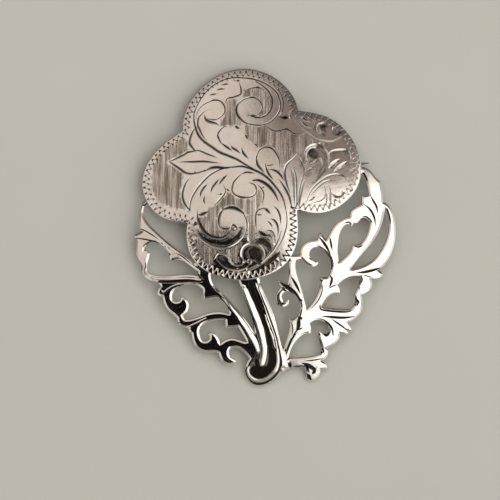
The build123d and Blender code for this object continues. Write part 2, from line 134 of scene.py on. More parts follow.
    (0.36, -0.3, 0.1, 0.3, [(10.9, 16.5), (11.2, 14.2), (11.2, 11.0), (11.3, 7.0)]),
    (0.56, 0.0, 0.1, 0.3, [(15.3, 15.1), (14.5, 13.2), (13.9, 11.2), (13.3, 8.8), (13.1, 6.6)]),
    (0.4, 0.4, 0.2, 0.3, [(15.4, 17.6), (14.5, 16.0), (13.7, 13.6), (12.9, 10.4), (12.7, 7.0)]),
    # The right lobe: the curl beside the fan.
    (0.62, -0.5, 0.3, 0.5, [(15.7, 21.8), (15.3, 23.3), (16.2, 24.7), (18.0, 25.7), (20.2, 25.7), (22.2, 24.8), (23.7, 23.2), (24.3, 21.6), (24.1, 19.8), (22.9, 17.9), (21.2, 16.2), (19.4, 14.5)]),
    (0.7, 0.4, 0.5, 0.3, [(21.2, 24.6), (19.5, 25.0), (17.6, 24.6), (16.4, 23.4), (16.15, 21.9), (17.0, 20.5), (18.4, 20.2), (19.6, 20.8), (19.9, 21.9)]),
    (0.5, -0.4, 0.3, 0.1, [(19.8, 22.2), (20.9, 21.8), (21.6, 20.3), (21.4, 18.4), (20.6, 16.8), (19.6, 15.4)]),
    (0.44, 0.0, 0.2, 0.1, [(16.2, 20.8), (17.2, 19.95), (18.6, 19.6)]),
    (0.5, 0.4, 0.2, 0.2, [(15.7, 17.6), (17.2, 18.1), (19.1, 18.9)]),
    # The right lobe: the round leaf with its two petals.
    (0.6, -0.3, 0.2, 0.4, [(24.3, 22.8), (25.2, 23.7), (27.4, 24.1), (29.6, 24.2), (31.4, 24.0), (32.5, 23.0)]),
    (0.4, 0.0, 0.3, 0.1, [(32.4, 23.2), (32.9, 21.6), (32.6, 19.9), (31.2, 18.6)]),
    (0.36, 0.3, 0.3, 0.1, [(24.5, 22.7), (24.7, 21.1), (24.1, 19.4)]),
    (0.95, -0.6, 0.1, 0.6, [(24.2, 18.5), (25.8, 19.6), (27.6, 21.0)]),
    (0.95, -0.6, 0.1, 0.6, [(26.2, 17.5), (28.2, 18.5), (30.5, 20.2)]),
    (0.46, 0.0, 0.1, 0.1, [(28.2, 18.0), (30.3, 18.6)]),
    # The right lobe: the arch over the lower leaves, and the ring and bars under it.
    (0.46, 0.3, 0.2, 0.3, [(32.1, 14.0), (30.2, 15.9), (27.3, 16.6), (24.2, 16.1), (21.3, 14.7), (18.6, 12.7), (16.8, 10.3), (15.6, 7.4)]),
    (0.46, 0.3, 0.1, 0.1, [(26.2, 14.5), (24.4, 14.7), (22.2, 14.0), (20.2, 12.6), (18.4, 11.0), (17.4, 9.8)]),
    (0.38, 0.0, 0.1, 0.2, [(22.2, 13.1), (23.0, 11.7), (22.9, 9.9), (21.5, 8.5), (19.6, 8.0), (17.8, 7.5)]),
    (0.46, 0.2, 0.1, 0.1, [(16.7, 8.1), (18.0, 8.9), (19.3, 9.6)]),
    (0.5, 0.0, 0.2, 0.3, [(24.6, 13.0), (24.8, 10.6), (24.9, 6.3)]),
    (0.36, 0.0, 0.2, 0.3, [(23.4, 11.4), (23.5, 9.0), (23.4, 7.0)]),
    (0.56, 0.0, 0.2, 0.2, [(25.2, 10.7), (26.3, 9.8), (27.6, 9.45), (28.7, 9.8)]),
    # The right lobe: the leaf along its top edge.
    (0.46, 0.4, 0.3, 0.3, [(9.5, 36.4), (11.3, 34.3), (13.7, 31.7), (16.7, 29.6), (20.1, 27.8), (23.5, 26.95), (26.1, 27.0), (28.5, 27.9), (30.1, 29.0), (30.7, 30.2)]),
    (0.46, 0.2, 0.1, 0.1, [(13.6, 33.3), (15.4, 32.0), (17.8, 30.9)]),
    (0.5, 0.2, 0.1, 0.1, [(12.9, 34.9), (15.2, 33.7), (17.4, 32.9)]),
    (0.4, 0.2, 0.1, 0.1, [(15.6, 35.0), (18.0, 34.3), (19.6, 33.2)]),
    (0.42, 0.0, 0.2, 0.2, [(18.6, 34.0), (18.9, 32.0), (19.5, 30.2)]),
    (0.66, 0.3, 0.2, 0.2, [(22.7, 32.7), (20.9, 32.3), (20.2, 31.1), (20.9, 29.7), (22.6, 29.1)]),
    (0.9, 0.0, 0.3, 0.3, [(21.6, 31.9), (22.8, 31.5)]),
    (0.8, 0.0, 0.2, 0.2, [(26.6, 29.0), (28.2, 29.5), (29.0, 29.9)]),
    (0.4, 0.3, 0.1, 0.1, [(25.6, 31.2), (27.2, 31.2), (28.4, 30.7)]),
    # The bottom lobe: the great scroll's ring and its ball.
    (0.86, 0.0, 0.5, 0.4, [(-15.5, 5.7), (-13.6, 6.1), (-11.3, 5.95), (-9.3, 5.2), (-7.9, 4.3)]),
    (0.36, 0.0, 0.6, 0.4, [(-8.0, 4.3), (-7.0, 2.3), (-6.7, 0.2), (-7.1, -1.6), (-8.2, -3.0)]),
    (0.5, -0.5, 0.3, 0.5, [(-15.6, 5.5), (-16.8, 3.9), (-17.2, 2.0), (-16.9, 0.4), (-16.0, -0.4)]),
    (0.62, 0.0, 0.4, 0.4, [(-16.6, -0.1), (-15.4, -0.55), (-14.0, -0.6), (-13.2, -0.1)]),
    (0.5, 0.0, 0.6, 0.6, [(-12.7, -0.3), (-12.1, 0.7), (-11.2, 0.4), (-10.6, -0.4), (-11.4, -1.0), (-12.3, -0.8), (-12.7, -0.3)]),
    (0.7, 0.2, 0.2, 0.3, [(-25.6, 5.5), (-25.4, 3.1), (-24.3, 0.7), (-22.4, -1.65), (-20.0, -2.95), (-17.2, -3.4), (-15.2, -3.1), (-13.3, -1.7)]),
    (0.8, 0.35, 0.15, 0.5, [(-25.4, -0.9), (-23.6, -3.1), (-21.0, -4.5), (-18.0, -5.2), (-15.2, -5.2), (-12.6, -4.4), (-10.4, -2.9), (-9.0, -1.1)]),
    (0.4, -0.5, 0.2, 0.4, [(-26.0, -2.0), (-23.2, -4.5), (-19.7, -6.1), (-15.4, -6.7), (-11.4, -5.6), (-8.2, -3.3), (-6.6, -0.9)]),
    (0.75, 0.0, 0.1, 0.5, [(-25.3, 4.0), (-23.8, 4.0), (-21.8, 4.7)]),
    # The bottom lobe: the long leaf with the turned tip.
    (0.5, -0.6, 0.3, 0.5, [(-18.6, -9.6), (-17.6, -8.5), (-15.8, -8.5), (-13.8, -9.5), (-12.6, -11.2), (-11.0, -12.1), (-8.6, -11.9)]),
    (0.9, 0.3, 0.2, 0.1, [(-18.0, -9.7), (-15.9, -9.8), (-14.2, -11.0), (-12.6, -12.3), (-10.2, -12.7)]),
    (0.46, 0.5, 0.2, 0.4, [(-18.0, -10.4), (-16.0, -11.9), (-13.2, -13.1), (-10.0, -13.5), (-7.0, -12.7), (-5.4, -11.0)]),
    (0.36, 0.0, 0.2, 0.5, [(-14.0, -14.0), (-10.2, -14.2), (-6.6, -13.7), (-2.3, -12.1), (1.3, -9.7), (4.6, -6.6), (6.9, -3.4), (8.2, 0.2), (8.4, 3.2), (7.8, 6.3)]),
    (0.34, 0.4, 0.5, 0.4, [(-6.4, -13.1), (-3.0, -11.8), (0.2, -9.8), (3.0, -7.1), (5.2, -4.0), (6.2, -1.4)]),
    # The bottom lobe: the dark ball and the tongue that ends on it.
    (0.6, -0.5, 0.5, 0.4, [(-6.6, -10.9), (-8.0, -10.2), (-8.7, -8.6), (-8.2, -6.8), (-6.8, -5.7), (-4.6, -5.2), (-2.4, -5.6), (-0.8, -6.9), (-0.2, -8.7), (-0.9, -10.4), (-2.0, -11.5)]),
    (0.46, 0.3, 0.3, 0.2, [(-7.4, -10.9), (-6.0, -10.4), (-5.2, -9.3), (-4.7, -10.4), (-5.2, -11.6)]),
    # The bottom lobe: the leaf cluster in its middle.
    (0.46, 0.4, 0.2, 0.3, [(-3.8, -3.8), (-1.8, -3.3), (0.2, -3.5), (1.5, -3.3)]),
    (0.6, 0.0, 0.3, 0.2, [(-2.6, -1.4), (-1.2, -2.2), (0.9, -2.8)]),
    (0.52, 0.3, 0.1, 0.3, [(0.4, -1.0), (2.2, -1.1), (3.2, -2.2), (3.8, -3.8), (4.1, -5.2)]),
    (0.4, 0.4, 0.2, 0.3, [(1.4, -2.0), (2.4, -3.4), (2.8, -5.8)]),
    (0.58, 0.2, 0.1, 0.2, [(1.9, 2.8), (3.5, 2.2), (4.6, 0.7), (5.05, -1.2), (4.9, -2.8)]),
    (0.5, 0.0, 0.1, 0.1, [(3.3, 6.7), (4.8, 5.4), (5.8, 3.4), (6.1, 1.0)]),
    (0.6, 0.0, 0.3, 0.1, [(-0.5, 6.0), (0.7, 5.5), (2.3, 4.1)]),
    (0.34, 0.3, 0.2, 0.5, [(-3.0, -1.2), (-3.3, 1.4), (-3.3, 3.8), (-2.6, 5.2), (-1.2, 5.7), (-0.2, 5.8)]),
    (0.4, 0.0, 0.4, 0.4, [(-2.8, 3.9), (-1.4, 3.9)]),
    (0.34, 0.0, 0.2, 0.2, [(0.9, 2.0), (2.2, 1.1), (3.0, 0.0)]),
]

# The blackened bodies in the lobes' scrolls: width in mm, how wide the two ends are as shares of it, how dark each
# is, and the points it runs through.
LOBE_BLACKS = [
    (2.9, 0.95, 0.95, 1.0, [(-4.0, -7.9), (-3.0, -8.5)]),
    (1.3, 0.9, 0.5, 1.0, [(-2.4, -9.2), (-1.9, -11.4)]),
    (1.45, 0.4, 0.8, 1.0, [(-3.0, -4.4), (-0.4, -4.5), (1.4, -5.7)]),
    (1.0, 0.8, 0.6, 1.0, [(1.5, -6.1), (2.1, -7.3)]),
    (1.0, 0.6, 0.3, 1.0, [(0.6, -11.4), (2.6, -10.2), (4.4, -8.9), (5.4, -8.0)]),
    (0.5, 0.3, 0.3, 1.0, [(-2.2, -1.2), (-0.6, -2.0), (1.2, -2.8)]),
    (0.95, 0.3, 0.3, 1.0, [(-17.6, -9.9), (-15.6, -11.2), (-13.0, -12.3), (-10.6, -12.8)]),
    (0.6, 0.2, 0.5, 0.95, [(-24.6, -1.8), (-22.4, -3.7), (-18.5, -4.9), (-14.6, -5.2), (-11.4, -4.3), (-9.4, -2.6), (-8.8, -1.0)]),
    (2.1, 0.95, 0.95, 0.92, [(18.2, 23.3), (18.8, 22.8)]),
    (0.8, 0.5, 0.6, 0.85, [(6.5, 34.5), (7.6, 34.4), (8.6, 34.4)]),
    (0.5, 0.3, 0.4, 0.6, [(20.4, 24.2), (22.2, 23.6), (23.0, 21.8), (22.6, 19.8), (21.2, 17.6)]),
    (0.8, 0.5, 0.5, 0.75, [(21.0, 32.1), (21.8, 31.2), (23.0, 30.2)]),
    (1.0, 0.4, 0.5, 0.75, [(26.4, 29.4), (28.4, 29.4), (29.6, 30.2)]),
    (0.5, 0.3, 0.4, 0.7, [(27.6, 9.6), (28.9, 9.7), (30.0, 10.6)]),
    (0.5, 0.4, 0.2, 0.6, [(30.4, 23.6), (31.8, 22.8), (32.0, 20.8)]),
    (0.45, 0.3, 0.3, 0.55, [(24.9, 22.9), (26.6, 23.4), (28.8, 23.3)]),
    (0.45, 0.2, 0.3, 0.55, [(14.4, 20.6), (15.0, 18.0), (14.6, 15.6)]),
    (0.4, 0.3, 0.3, 0.5, [(10.0, 18.4), (10.6, 15.6), (10.7, 12.6)]),
]

# Painted shade in the carved leaves' hollows, standing in for the dark that their curved floors would mirror: each
# middle, its two radii in mm, its turn in degrees and how dark it is.
HOLLOW_SHADES = [
    ((18.5, 23.0), (1.15, 1.05), 0, 0.85),
    ((22.9, 21.6), (0.4, 1.9), -8, 0.6),
    ((31.0, 23.4), (1.0, 0.45), -35, 0.75),
    ((25.7, 22.4), (0.75, 0.45), 30, 0.55),
    ((31.6, 19.4), (0.9, 0.3), 25, 0.6),
    ((22.7, 31.6), (0.95, 0.6), 10, 0.8),
    ((28.0, 29.6), (1.2, 0.65), -15, 0.85),
    ((22.3, 28.9), (0.6, 0.4), 0, 0.75),
    ((19.4, 31.2), (0.35, 0.9), 0, 0.6),
    ((14.3, 20.0), (0.35, 1.5), -18, 0.6),
    ((11.0, 15.4), (0.3, 1.3), 5, 0.5),
    ((16.4, 16.6), (0.6, 1.2), -40, 0.55),
    ((19.9, 18.2), (0.35, 1.1), -20, 0.6),
    ((7.6, 34.4), (0.8, 0.45), 0, 0.85),
    ((6.4, 33.0), (0.9, 0.5), 30, 0.35),
    ((-4.2, -8.6), (1.25, 1.45), 0, 1.2),
    ((1.4, -5.8), (1.3, 0.8), -30, 0.7),
    ((-2.6, -4.8), (1.0, 0.4), 10, 0.75),
    ((-14.0, -11.8), (1.6, 0.45), -28, 0.7),
    ((-9.8, -2.6), (0.9, 0.35), 45, 0.8),
    ((-14.0, -1.6), (1.2, 0.35), 8, 0.5),
    ((1.6, -2.6), (0.8, 0.35), -20, 0.8),
]

# The vertically hatched grounds between the scrolls, as closed outlines in the same shares.
GROUNDS = [
    [(-6.9, 43.4), (-4.2, 43.9), (-1.8, 43.8), (0.4, 42.7), (1.9, 41.2), (2.6, 39.3), (2.4, 37.4), (1.0, 35.9), (-0.8, 35.1), (-2.2, 35.3), (-1.0, 36.5), (-0.5, 38.0), (-1.1, 39.6), (-2.7, 40.9), (-5.2, 41.2), (-7.2, 41.0), (-8.4, 41.6)],
    [(-14.2, 39.6), (-12.0, 40.2), (-10.2, 39.2), (-11.1, 37.6), (-11.2, 36.2), (-10.6, 34.9), (-9.2, 33.3), (-8.2, 32.3), (-10.6, 32.5), (-13.0, 32.2), (-15.6, 31.9), (-17.0, 32.6), (-15.4, 34.6), (-14.6, 36.6)],
    [(-7.0, 32.0), (-3.0, 31.4), (0.4, 31.4), (2.8, 30.0), (5.2, 29.9), (8.0, 30.4), (10.6, 29.1), (14.8, 28.8), (17.6, 27.9), (21.6, 26.8), (24.0, 26.2), (22.9, 25.0), (20.2, 26.3), (17.4, 26.2), (15.2, 24.8), (14.8, 22.6), (16.2, 20.2), (15.7, 19.0), (14.6, 20.6), (12.2, 23.5), (10.0, 21.7), (7.6, 19.9), (6.4, 18.4), (6.2, 20.9), (5.0, 23.3), (2.8, 25.4), (-0.2, 25.6), (-2.3, 25.0), (-4.4, 26.4), (-6.2, 28.0), (-7.2, 30.0)],
    [(-42.6, 13.6), (-42.4, 18.6), (-39.8, 22.6), (-35.0, 26.0), (-31.0, 28.0), (-29.5, 27.4), (-29.2, 25.6), (-30.0, 23.8), (-33.6, 22.2), (-37.2, 20.6), (-34.2, 18.5), (-30.6, 16.4), (-31.2, 14.4), (-31.9, 10.5), (-31.0, 7.4), (-29.8, 5.6), (-34.0, 6.2), (-38.4, 7.6), (-41.6, 9.8)],
    [(-20.6, 6.0), (-18.0, 7.0), (-15.8, 9.0), (-14.0, 10.6), (-12.8, 10.6), (-11.2, 9.3), (-8.4, 8.7), (-5.6, 8.8), (-3.4, 9.8), (-2.4, 11.4), (-1.2, 10.6), (-1.2, 7.4), (-2.6, 6.0), (-3.9, 4.4), (-4.0, 1.0), (-3.6, -2.2), (-4.6, -4.0), (-6.6, -4.2), (-6.2, -1.4), (-6.0, 1.6), (-6.9, 4.4), (-9.2, 6.2), (-12.6, 7.1), (-15.8, 6.5), (-17.4, 4.5), (-18.3, 2.2), (-18.2, -0.2), (-17.2, -1.4), (-15.4, -1.6), (-15.2, -2.4), (-17.2, -2.9), (-20.0, -2.5), (-22.5, -1.4), (-24.2, 0.6), (-25.1, 3.0), (-22.6, 3.2), (-20.9, 4.4)],
    [(-25.6, -3.0), (-23.2, -5.0), (-19.6, -6.6), (-15.4, -7.2), (-11.6, -6.2), (-8.8, -4.4), (-9.2, -6.6), (-9.9, -8.6), (-9.3, -10.6), (-11.4, -11.4), (-12.9, -9.9), (-14.8, -8.4), (-17.2, -7.9), (-19.1, -9.0), (-19.2, -10.8), (-20.6, -12.0), (-23.6, -10.4), (-25.4, -7.2)],
]


# Each blackened cut of the sawn leaves and the stalk: its width in mm, how wide its two ends are as shares of its
# width, and the points it runs through.
LEAF_CUTS = [
    # The left side: the root, the hood and the leaves that hang from it.
    (0.3, 0.4, 0.5, [(-46.4, 6.7), (-45.2, 7.1), (-44.5, 7.9)]),
    (0.2, 0.4, 0.5, [(-46.3, 4.4), (-45.4, 2.4), (-43.0, -0.2), (-40.0, -2.6), (-36.0, -5.5), (-32.0, -8.0), (-28.4, -10.2)]),
    (0.26, 0.5, 0.2, [(-47.4, -1.4), (-46.7, -0.6), (-44.0, -1.7), (-41.2, -3.2), (-39.8, -4.1)]),
    (0.32, 0.5, 0.2, [(-49.0, -3.4), (-46.0, -3.7), (-42.0, -4.4), (-39.2, -5.2)]),
    (0.28, 0.3, 0.4, [(-43.0, -5.1), (-44.4, -5.5), (-45.3, -6.8), (-44.6, -7.5)]),
    (0.2, 0.4, 0.3, [(-46.9, -11.4), (-46.6, -12.8), (-46.7, -14.2)]),
    (0.26, 0.4, 0.3, [(-45.3, -10.3), (-45.2, -12.0), (-45.5, -13.6), (-45.5, -14.8)]),
    (0.2, 0.6, 0.6, [(-39.1, -4.9), (-38.6, -5.4)]),
    (0.18, 0.6, 0.6, [(-38.0, -5.8), (-37.4, -6.3)]),
    (0.2, 0.6, 0.6, [(-36.6, -6.3), (-36.0, -6.8)]),
    (0.22, 0.6, 0.6, [(-36.0, -8.1), (-35.8, -8.8)]),
    (0.16, 0.6, 0.6, [(-30.9, -10.5), (-30.2, -10.8)]),
    (0.4, 0.4, 0.6, [(-35.1, -10.5), (-34.4, -9.8)]),
    (0.24, 0.2, 0.4, [(-34.4, -8.1), (-32.0, -8.7), (-30.0, -9.9), (-28.2, -11.3)]),
    (0.42, 0.3, 0.3, [(-28.9, -8.4), (-27.6, -9.6), (-26.6, -10.7)]),
    (0.4, 0.2, 0.5, [(-26.0, -13.9), (-24.8, -15.2), (-23.6, -16.0)]),
    (0.7, 0.5, 0.5, [(-40.2, -17.2), (-36.5, -17.1), (-32.0, -16.9), (-28.0, -16.8), (-24.0, -17.1)]),
    (0.34, 0.2, 0.1, [(-38.9, -21.2), (-36.4, -19.7), (-33.2, -18.5), (-30.4, -17.9)]),
    # The left side: the two scrolls and the leaves between them.
    (0.4, 0.2, 0.2, [(-37.3, -23.9), (-36.2, -25.1), (-34.2, -26.5), (-32.0, -27.2)]),
    (0.3, 0.2, 0.2, [(-36.3, -21.8), (-36.0, -23.4), (-34.6, -24.8), (-32.4, -25.1), (-31.0, -24.4)]),
    (0.4, 0.3, 0.2, [(-33.0, -29.9), (-30.6, -30.1), (-27.4, -29.7), (-24.0, -28.6)]),
    (0.4, 0.2, 0.1, [(-25.6, -30.4), (-22.4, -29.0), (-18.4, -28.3), (-14.6, -28.4)]),
    (0.36, 0.2, 0.1, [(-28.8, -32.2), (-26.6, -31.4), (-24.2, -30.6)]),
    (0.4, 0.2, 0.2, [(-26.4, -35.8), (-25.0, -37.2), (-22.4, -38.0), (-19.6, -37.8), (-17.8, -36.8)]),
    (0.3, 0.2, 0.2, [(-25.8, -33.2), (-25.2, -35.8), (-23.4, -37.2), (-21.0, -36.8), (-19.7, -35.2)]),
    (0.4, 0.2, 0.1, [(-15.6, -38.2), (-13.4, -37.3), (-10.6, -36.9), (-8.0, -37.4), (-5.6, -39.2)]),
    (0.34, 0.2, 0.2, [(-16.2, -40.0), (-15.2, -41.4), (-13.6, -42.4), (-12.0, -42.5)]),
    (0.3, 0.4, 0.2, [(-22.6, -20.4), (-22.4, -22.2)]),
    (0.4, 0.2, 0.2, [(-20.8, -18.2), (-17.6, -21.2), (-14.2, -24.6), (-10.6, -28.6), (-7.2, -33.0), (-4.8, -37.2)]),
    # The stalk: its hollow, the lines beside its raised ones and the cup of its curl.
    (1.35, 0.6, 0.9, [(-5.4, -16.6), (-4.6, -20.0), (-3.5, -22.4), (-2.4, -24.2), (-1.6, -26.0)]),
    (1.05, 0.9, 0.9, [(-1.8, -25.6), (-0.8, -28.0), (-0.1, -30.0), (0.9, -32.0), (1.4, -33.6)]),
    (1.2, 0.8, 0.9, [(1.2, -33.0), (1.7, -35.0), (2.1, -37.0), (2.5, -39.4), (2.4, -42.0), (1.7, -44.2)]),
    (1.2, 0.5, 0.9, [(3.3, -38.4), (3.6, -41.0), (3.3, -43.2), (1.8, -45.4)]),
    (2.8, 0.95, 0.95, [(-3.5, -45.3), (-2.0, -45.8), (-0.2, -45.4)]),
    (1.0, 0.7, 0.9, [(-3.2, -41.6), (-2.6, -43.2)]),
    (0.3, 0.5, 0.8, [(-2.7, -17.6), (-2.1, -19.6), (-1.1, -21.6), (-0.1, -23.8), (0.9, -26.0), (1.8, -28.0), (2.6, -30.0), (3.5, -32.0), (4.3, -34.0), (4.9, -36.0), (5.3, -38.0)]),
    (0.46, 0.6, 0.5, [(5.3, -37.4), (5.8, -39.4), (6.1, -41.2), (6.1, -43.0), (5.6, -44.8), (4.4, -46.4), (2.6, -47.9), (0.6, -48.9), (-1.4, -49.35), (-3.4, -49.25), (-5.2, -48.4), (-6.4, -47.1), (-7.0, -45.5), (-6.7, -44.0)]),
    (0.36, 0.4, 0.4, [(-9.4, -18.0), (-8.5, -20.4), (-6.7, -24.2), (-4.6, -28.2), (-3.0, -32.0), (-2.0, -35.0), (-1.2, -38.0), (-1.1, -40.0), (-1.7, -42.0), (-2.2, -43.4)]),
    # The foot's arm and its scroll on the right.
    (0.3, 0.4, 0.4, [(7.1, -36.6), (7.25, -38.0)]),
    (0.3, 0.4, 0.4, [(8.5, -41.9), (9.4, -41.3), (10.2, -41.15)]),
    (0.85, 0.8, 0.6, [(9.5, -42.7), (9.8, -43.9)]),
    (0.26, 0.4, 0.5, [(10.0, -44.0), (12.0, -43.8), (14.6, -43.7), (16.0, -44.0)]),
    (0.28, 0.2, 0.4, [(14.8, -42.1), (18.0, -41.9), (20.4, -41.6), (22.5, -41.3)]),
    (0.95, 0.3, 0.8, [(14.8, -42.9), (16.8, -43.6), (18.4, -44.4), (19.0, -44.9)]),
    (0.7, 0.9, 0.3, [(19.0, -44.8), (18.9, -45.5), (18.2, -46.2)]),
    (0.62, 0.7, 0.4, [(15.8, -43.6), (16.3, -44.6), (16.9, -45.5)]),
    (0.85, 0.5, 0.6, [(16.4, -46.3), (16.9, -47.1), (17.5, -47.9)]),
    (0.3, 0.5, 0.2, [(21.5, -42.2), (22.3, -42.6), (23.0, -43.0)]),
    # The right side: the low scroll, its link and the fingers beside it.
    (0.3, 0.5, 0.7, [(20.8, -34.8), (21.3, -36.3), (21.8, -37.7)]),
    (0.45, 0.6, 0.3, [(21.5, -38.0), (22.2, -38.5), (22.6, -39.6)]),
    (0.22, 0.3, 0.5, [(23.0, -38.1), (24.2, -38.5)]),
    (0.55, 0.3, 0.4, [(22.4, -33.4), (23.4, -34.0), (24.2, -33.6), (24.8, -33.0)]),
    (0.45, 0.2, 0.6, [(22.0, -29.1), (23.6, -29.8), (25.0, -31.0), (25.8, -32.2), (26.0, -33.6)]),
    (0.2, 0.4, 0.4, [(24.5, -31.0), (25.0, -32.2), (24.9, -33.4)]),
    (0.5, 0.1, 0.15, [(21.2, -27.9), (25.0, -28.15), (29.0, -28.4), (32.0, -28.3), (34.8, -27.95)]),
    (0.36, 0.1, 0.2, [(25.0, -28.5), (27.5, -30.0), (29.6, -31.2), (32.0, -32.8)]),
    (0.4, 0.7, 0.2, [(21.0, -24.7), (21.3, -25.7), (23.0, -26.1), (26.4, -26.4), (30.0, -26.6), (32.6, -26.4), (34.4, -25.4)]),
    (0.46, 0.3, 0.4, [(34.4, -21.8), (35.0, -22.8), (35.6, -23.5), (35.2, -24.6)]),
    # The right side: the middle stem, the spike, the curl and the right stem's stripe.
    (0.9, 0.2, 0.5, [(5.8, -17.3), (8.0, -18.5), (10.0, -19.7), (12.0, -21.3), (13.3, -22.8)]),
    (0.36, 0.6, 0.3, [(13.4, -22.4), (14.0, -24.0), (14.2, -25.6)]),
    (0.4, 0.3, 0.2, [(6.5, -18.9), (7.4, -19.7), (8.6, -20.0)]),
    (0.56, 0.2, 0.3, [(10.0, -15.4), (11.4, -17.3), (12.4, -18.8), (13.4, -20.6)]),
    (0.2, 0.4, 0.4, [(9.3, -12.2), (9.5, -14.0), (9.5, -15.6)]),
    (0.3, 0.3, 0.6, [(5.6, -20.2), (4.95, -21.6), (5.1, -23.2), (5.9, -24.6)]),
    (0.35, 0.6, 0.1, [(10.1, -28.3), (10.8, -28.7), (11.6, -29.0)]),
    (0.26, 0.3, 0.2, [(9.8, -29.3), (10.4, -30.5), (10.75, -31.8), (10.6, -33.0), (10.2, -34.3)]),
    (0.36, 0.4, 0.8, [(14.2, -25.6), (13.8, -26.8), (13.4, -28.2)]),
    (0.85, 0.5, 0.3, [(13.1, -28.3), (12.9, -29.8), (12.8, -31.2), (12.2, -32.6)]),
    (0.34, 0.9, 0.2, [(12.3, -32.3), (11.3, -33.6), (10.5, -34.6)]),
    (0.3, 0.6, 0.4, [(12.6, -32.3), (13.6, -31.9), (14.4, -31.6)]),
    (0.52, 0.4, 0.1, [(8.3, -39.8), (8.8, -38.2), (9.5, -36.6), (10.2, -35.3), (11.4, -34.0), (12.4, -33.2)]),
    # The right side: the hook and the stem under it.
    (0.36, 0.3, 0.6, [(18.8, -6.9), (21.6, -7.4), (24.2, -8.8), (25.3, -10.6), (25.6, -13.2)]),
    (0.26, 0.4, 0.4, [(21.2, -17.0), (21.9, -18.6), (21.6, -20.6), (20.4, -22.9), (18.4, -24.9), (17.3, -26.0)]),
    (0.22, 0.4, 0.4, [(21.7, -15.75), (23.6, -16.0)]),
    (0.5, 0.4, 0.2, [(24.9, -15.2), (25.5, -16.2), (25.2, -17.5), (24.6, -18.8)]),
    (0.25, 0.3, 0.2, [(24.2, -19.2), (25.8, -18.5), (27.6, -17.9)]),
    (0.5, 0.3, 0.2, [(20.7, -3.1), (22.8, -5.3), (25.0, -8.4)]),
    (0.4, 0.3, 0.2, [(24.7, -3.2), (25.6, -7.2)]),
    # The right side: the knob, the finger beside it and the outer arc.
    (0.36, 0.5, 0.5, [(36.5, -15.3), (37.0, -16.3), (36.8, -17.5)]),
    (0.2, 0.4, 0.3, [(36.3, -18.6), (35.8, -19.9)]),
    (0.55, 0.1, 0.2, [(34.6, -14.25), (37.4, -14.1), (40.0, -13.7), (42.6, -13.1), (44.6, -12.7)]),
    (0.22, 0.2, 0.2, [(36.8, -14.8), (39.0, -15.3), (41.2, -15.9)]),
    (0.4, 0.1, 0.1, [(40.2, 10.2), (41.2, 8.4), (42.5, 6.5), (43.0, 4.2)]),
    (0.4, 0.1, 0.1, [(37.4, 7.3), (39.2, 6.3), (40.7, 4.8), (41.8, 2.6), (42.1, 0.3)]),
    (0.3, 0.2, 0.1, [(45.7, 5.4), (46.6, 3.6)]),
    (0.3, 0.2, 0.3, [(30.1, 1.2), (31.8, 1.6), (33.2, 0.9)]),
    (0.3, 0.2, 0.1, [(37.0, 3.4), (38.9, 3.2), (40.2, 1.9)]),
    (0.34, 0.3, 0.3, [(33.8, -5.7), (35.6, -6.2), (37.4, -5.6)]),
]

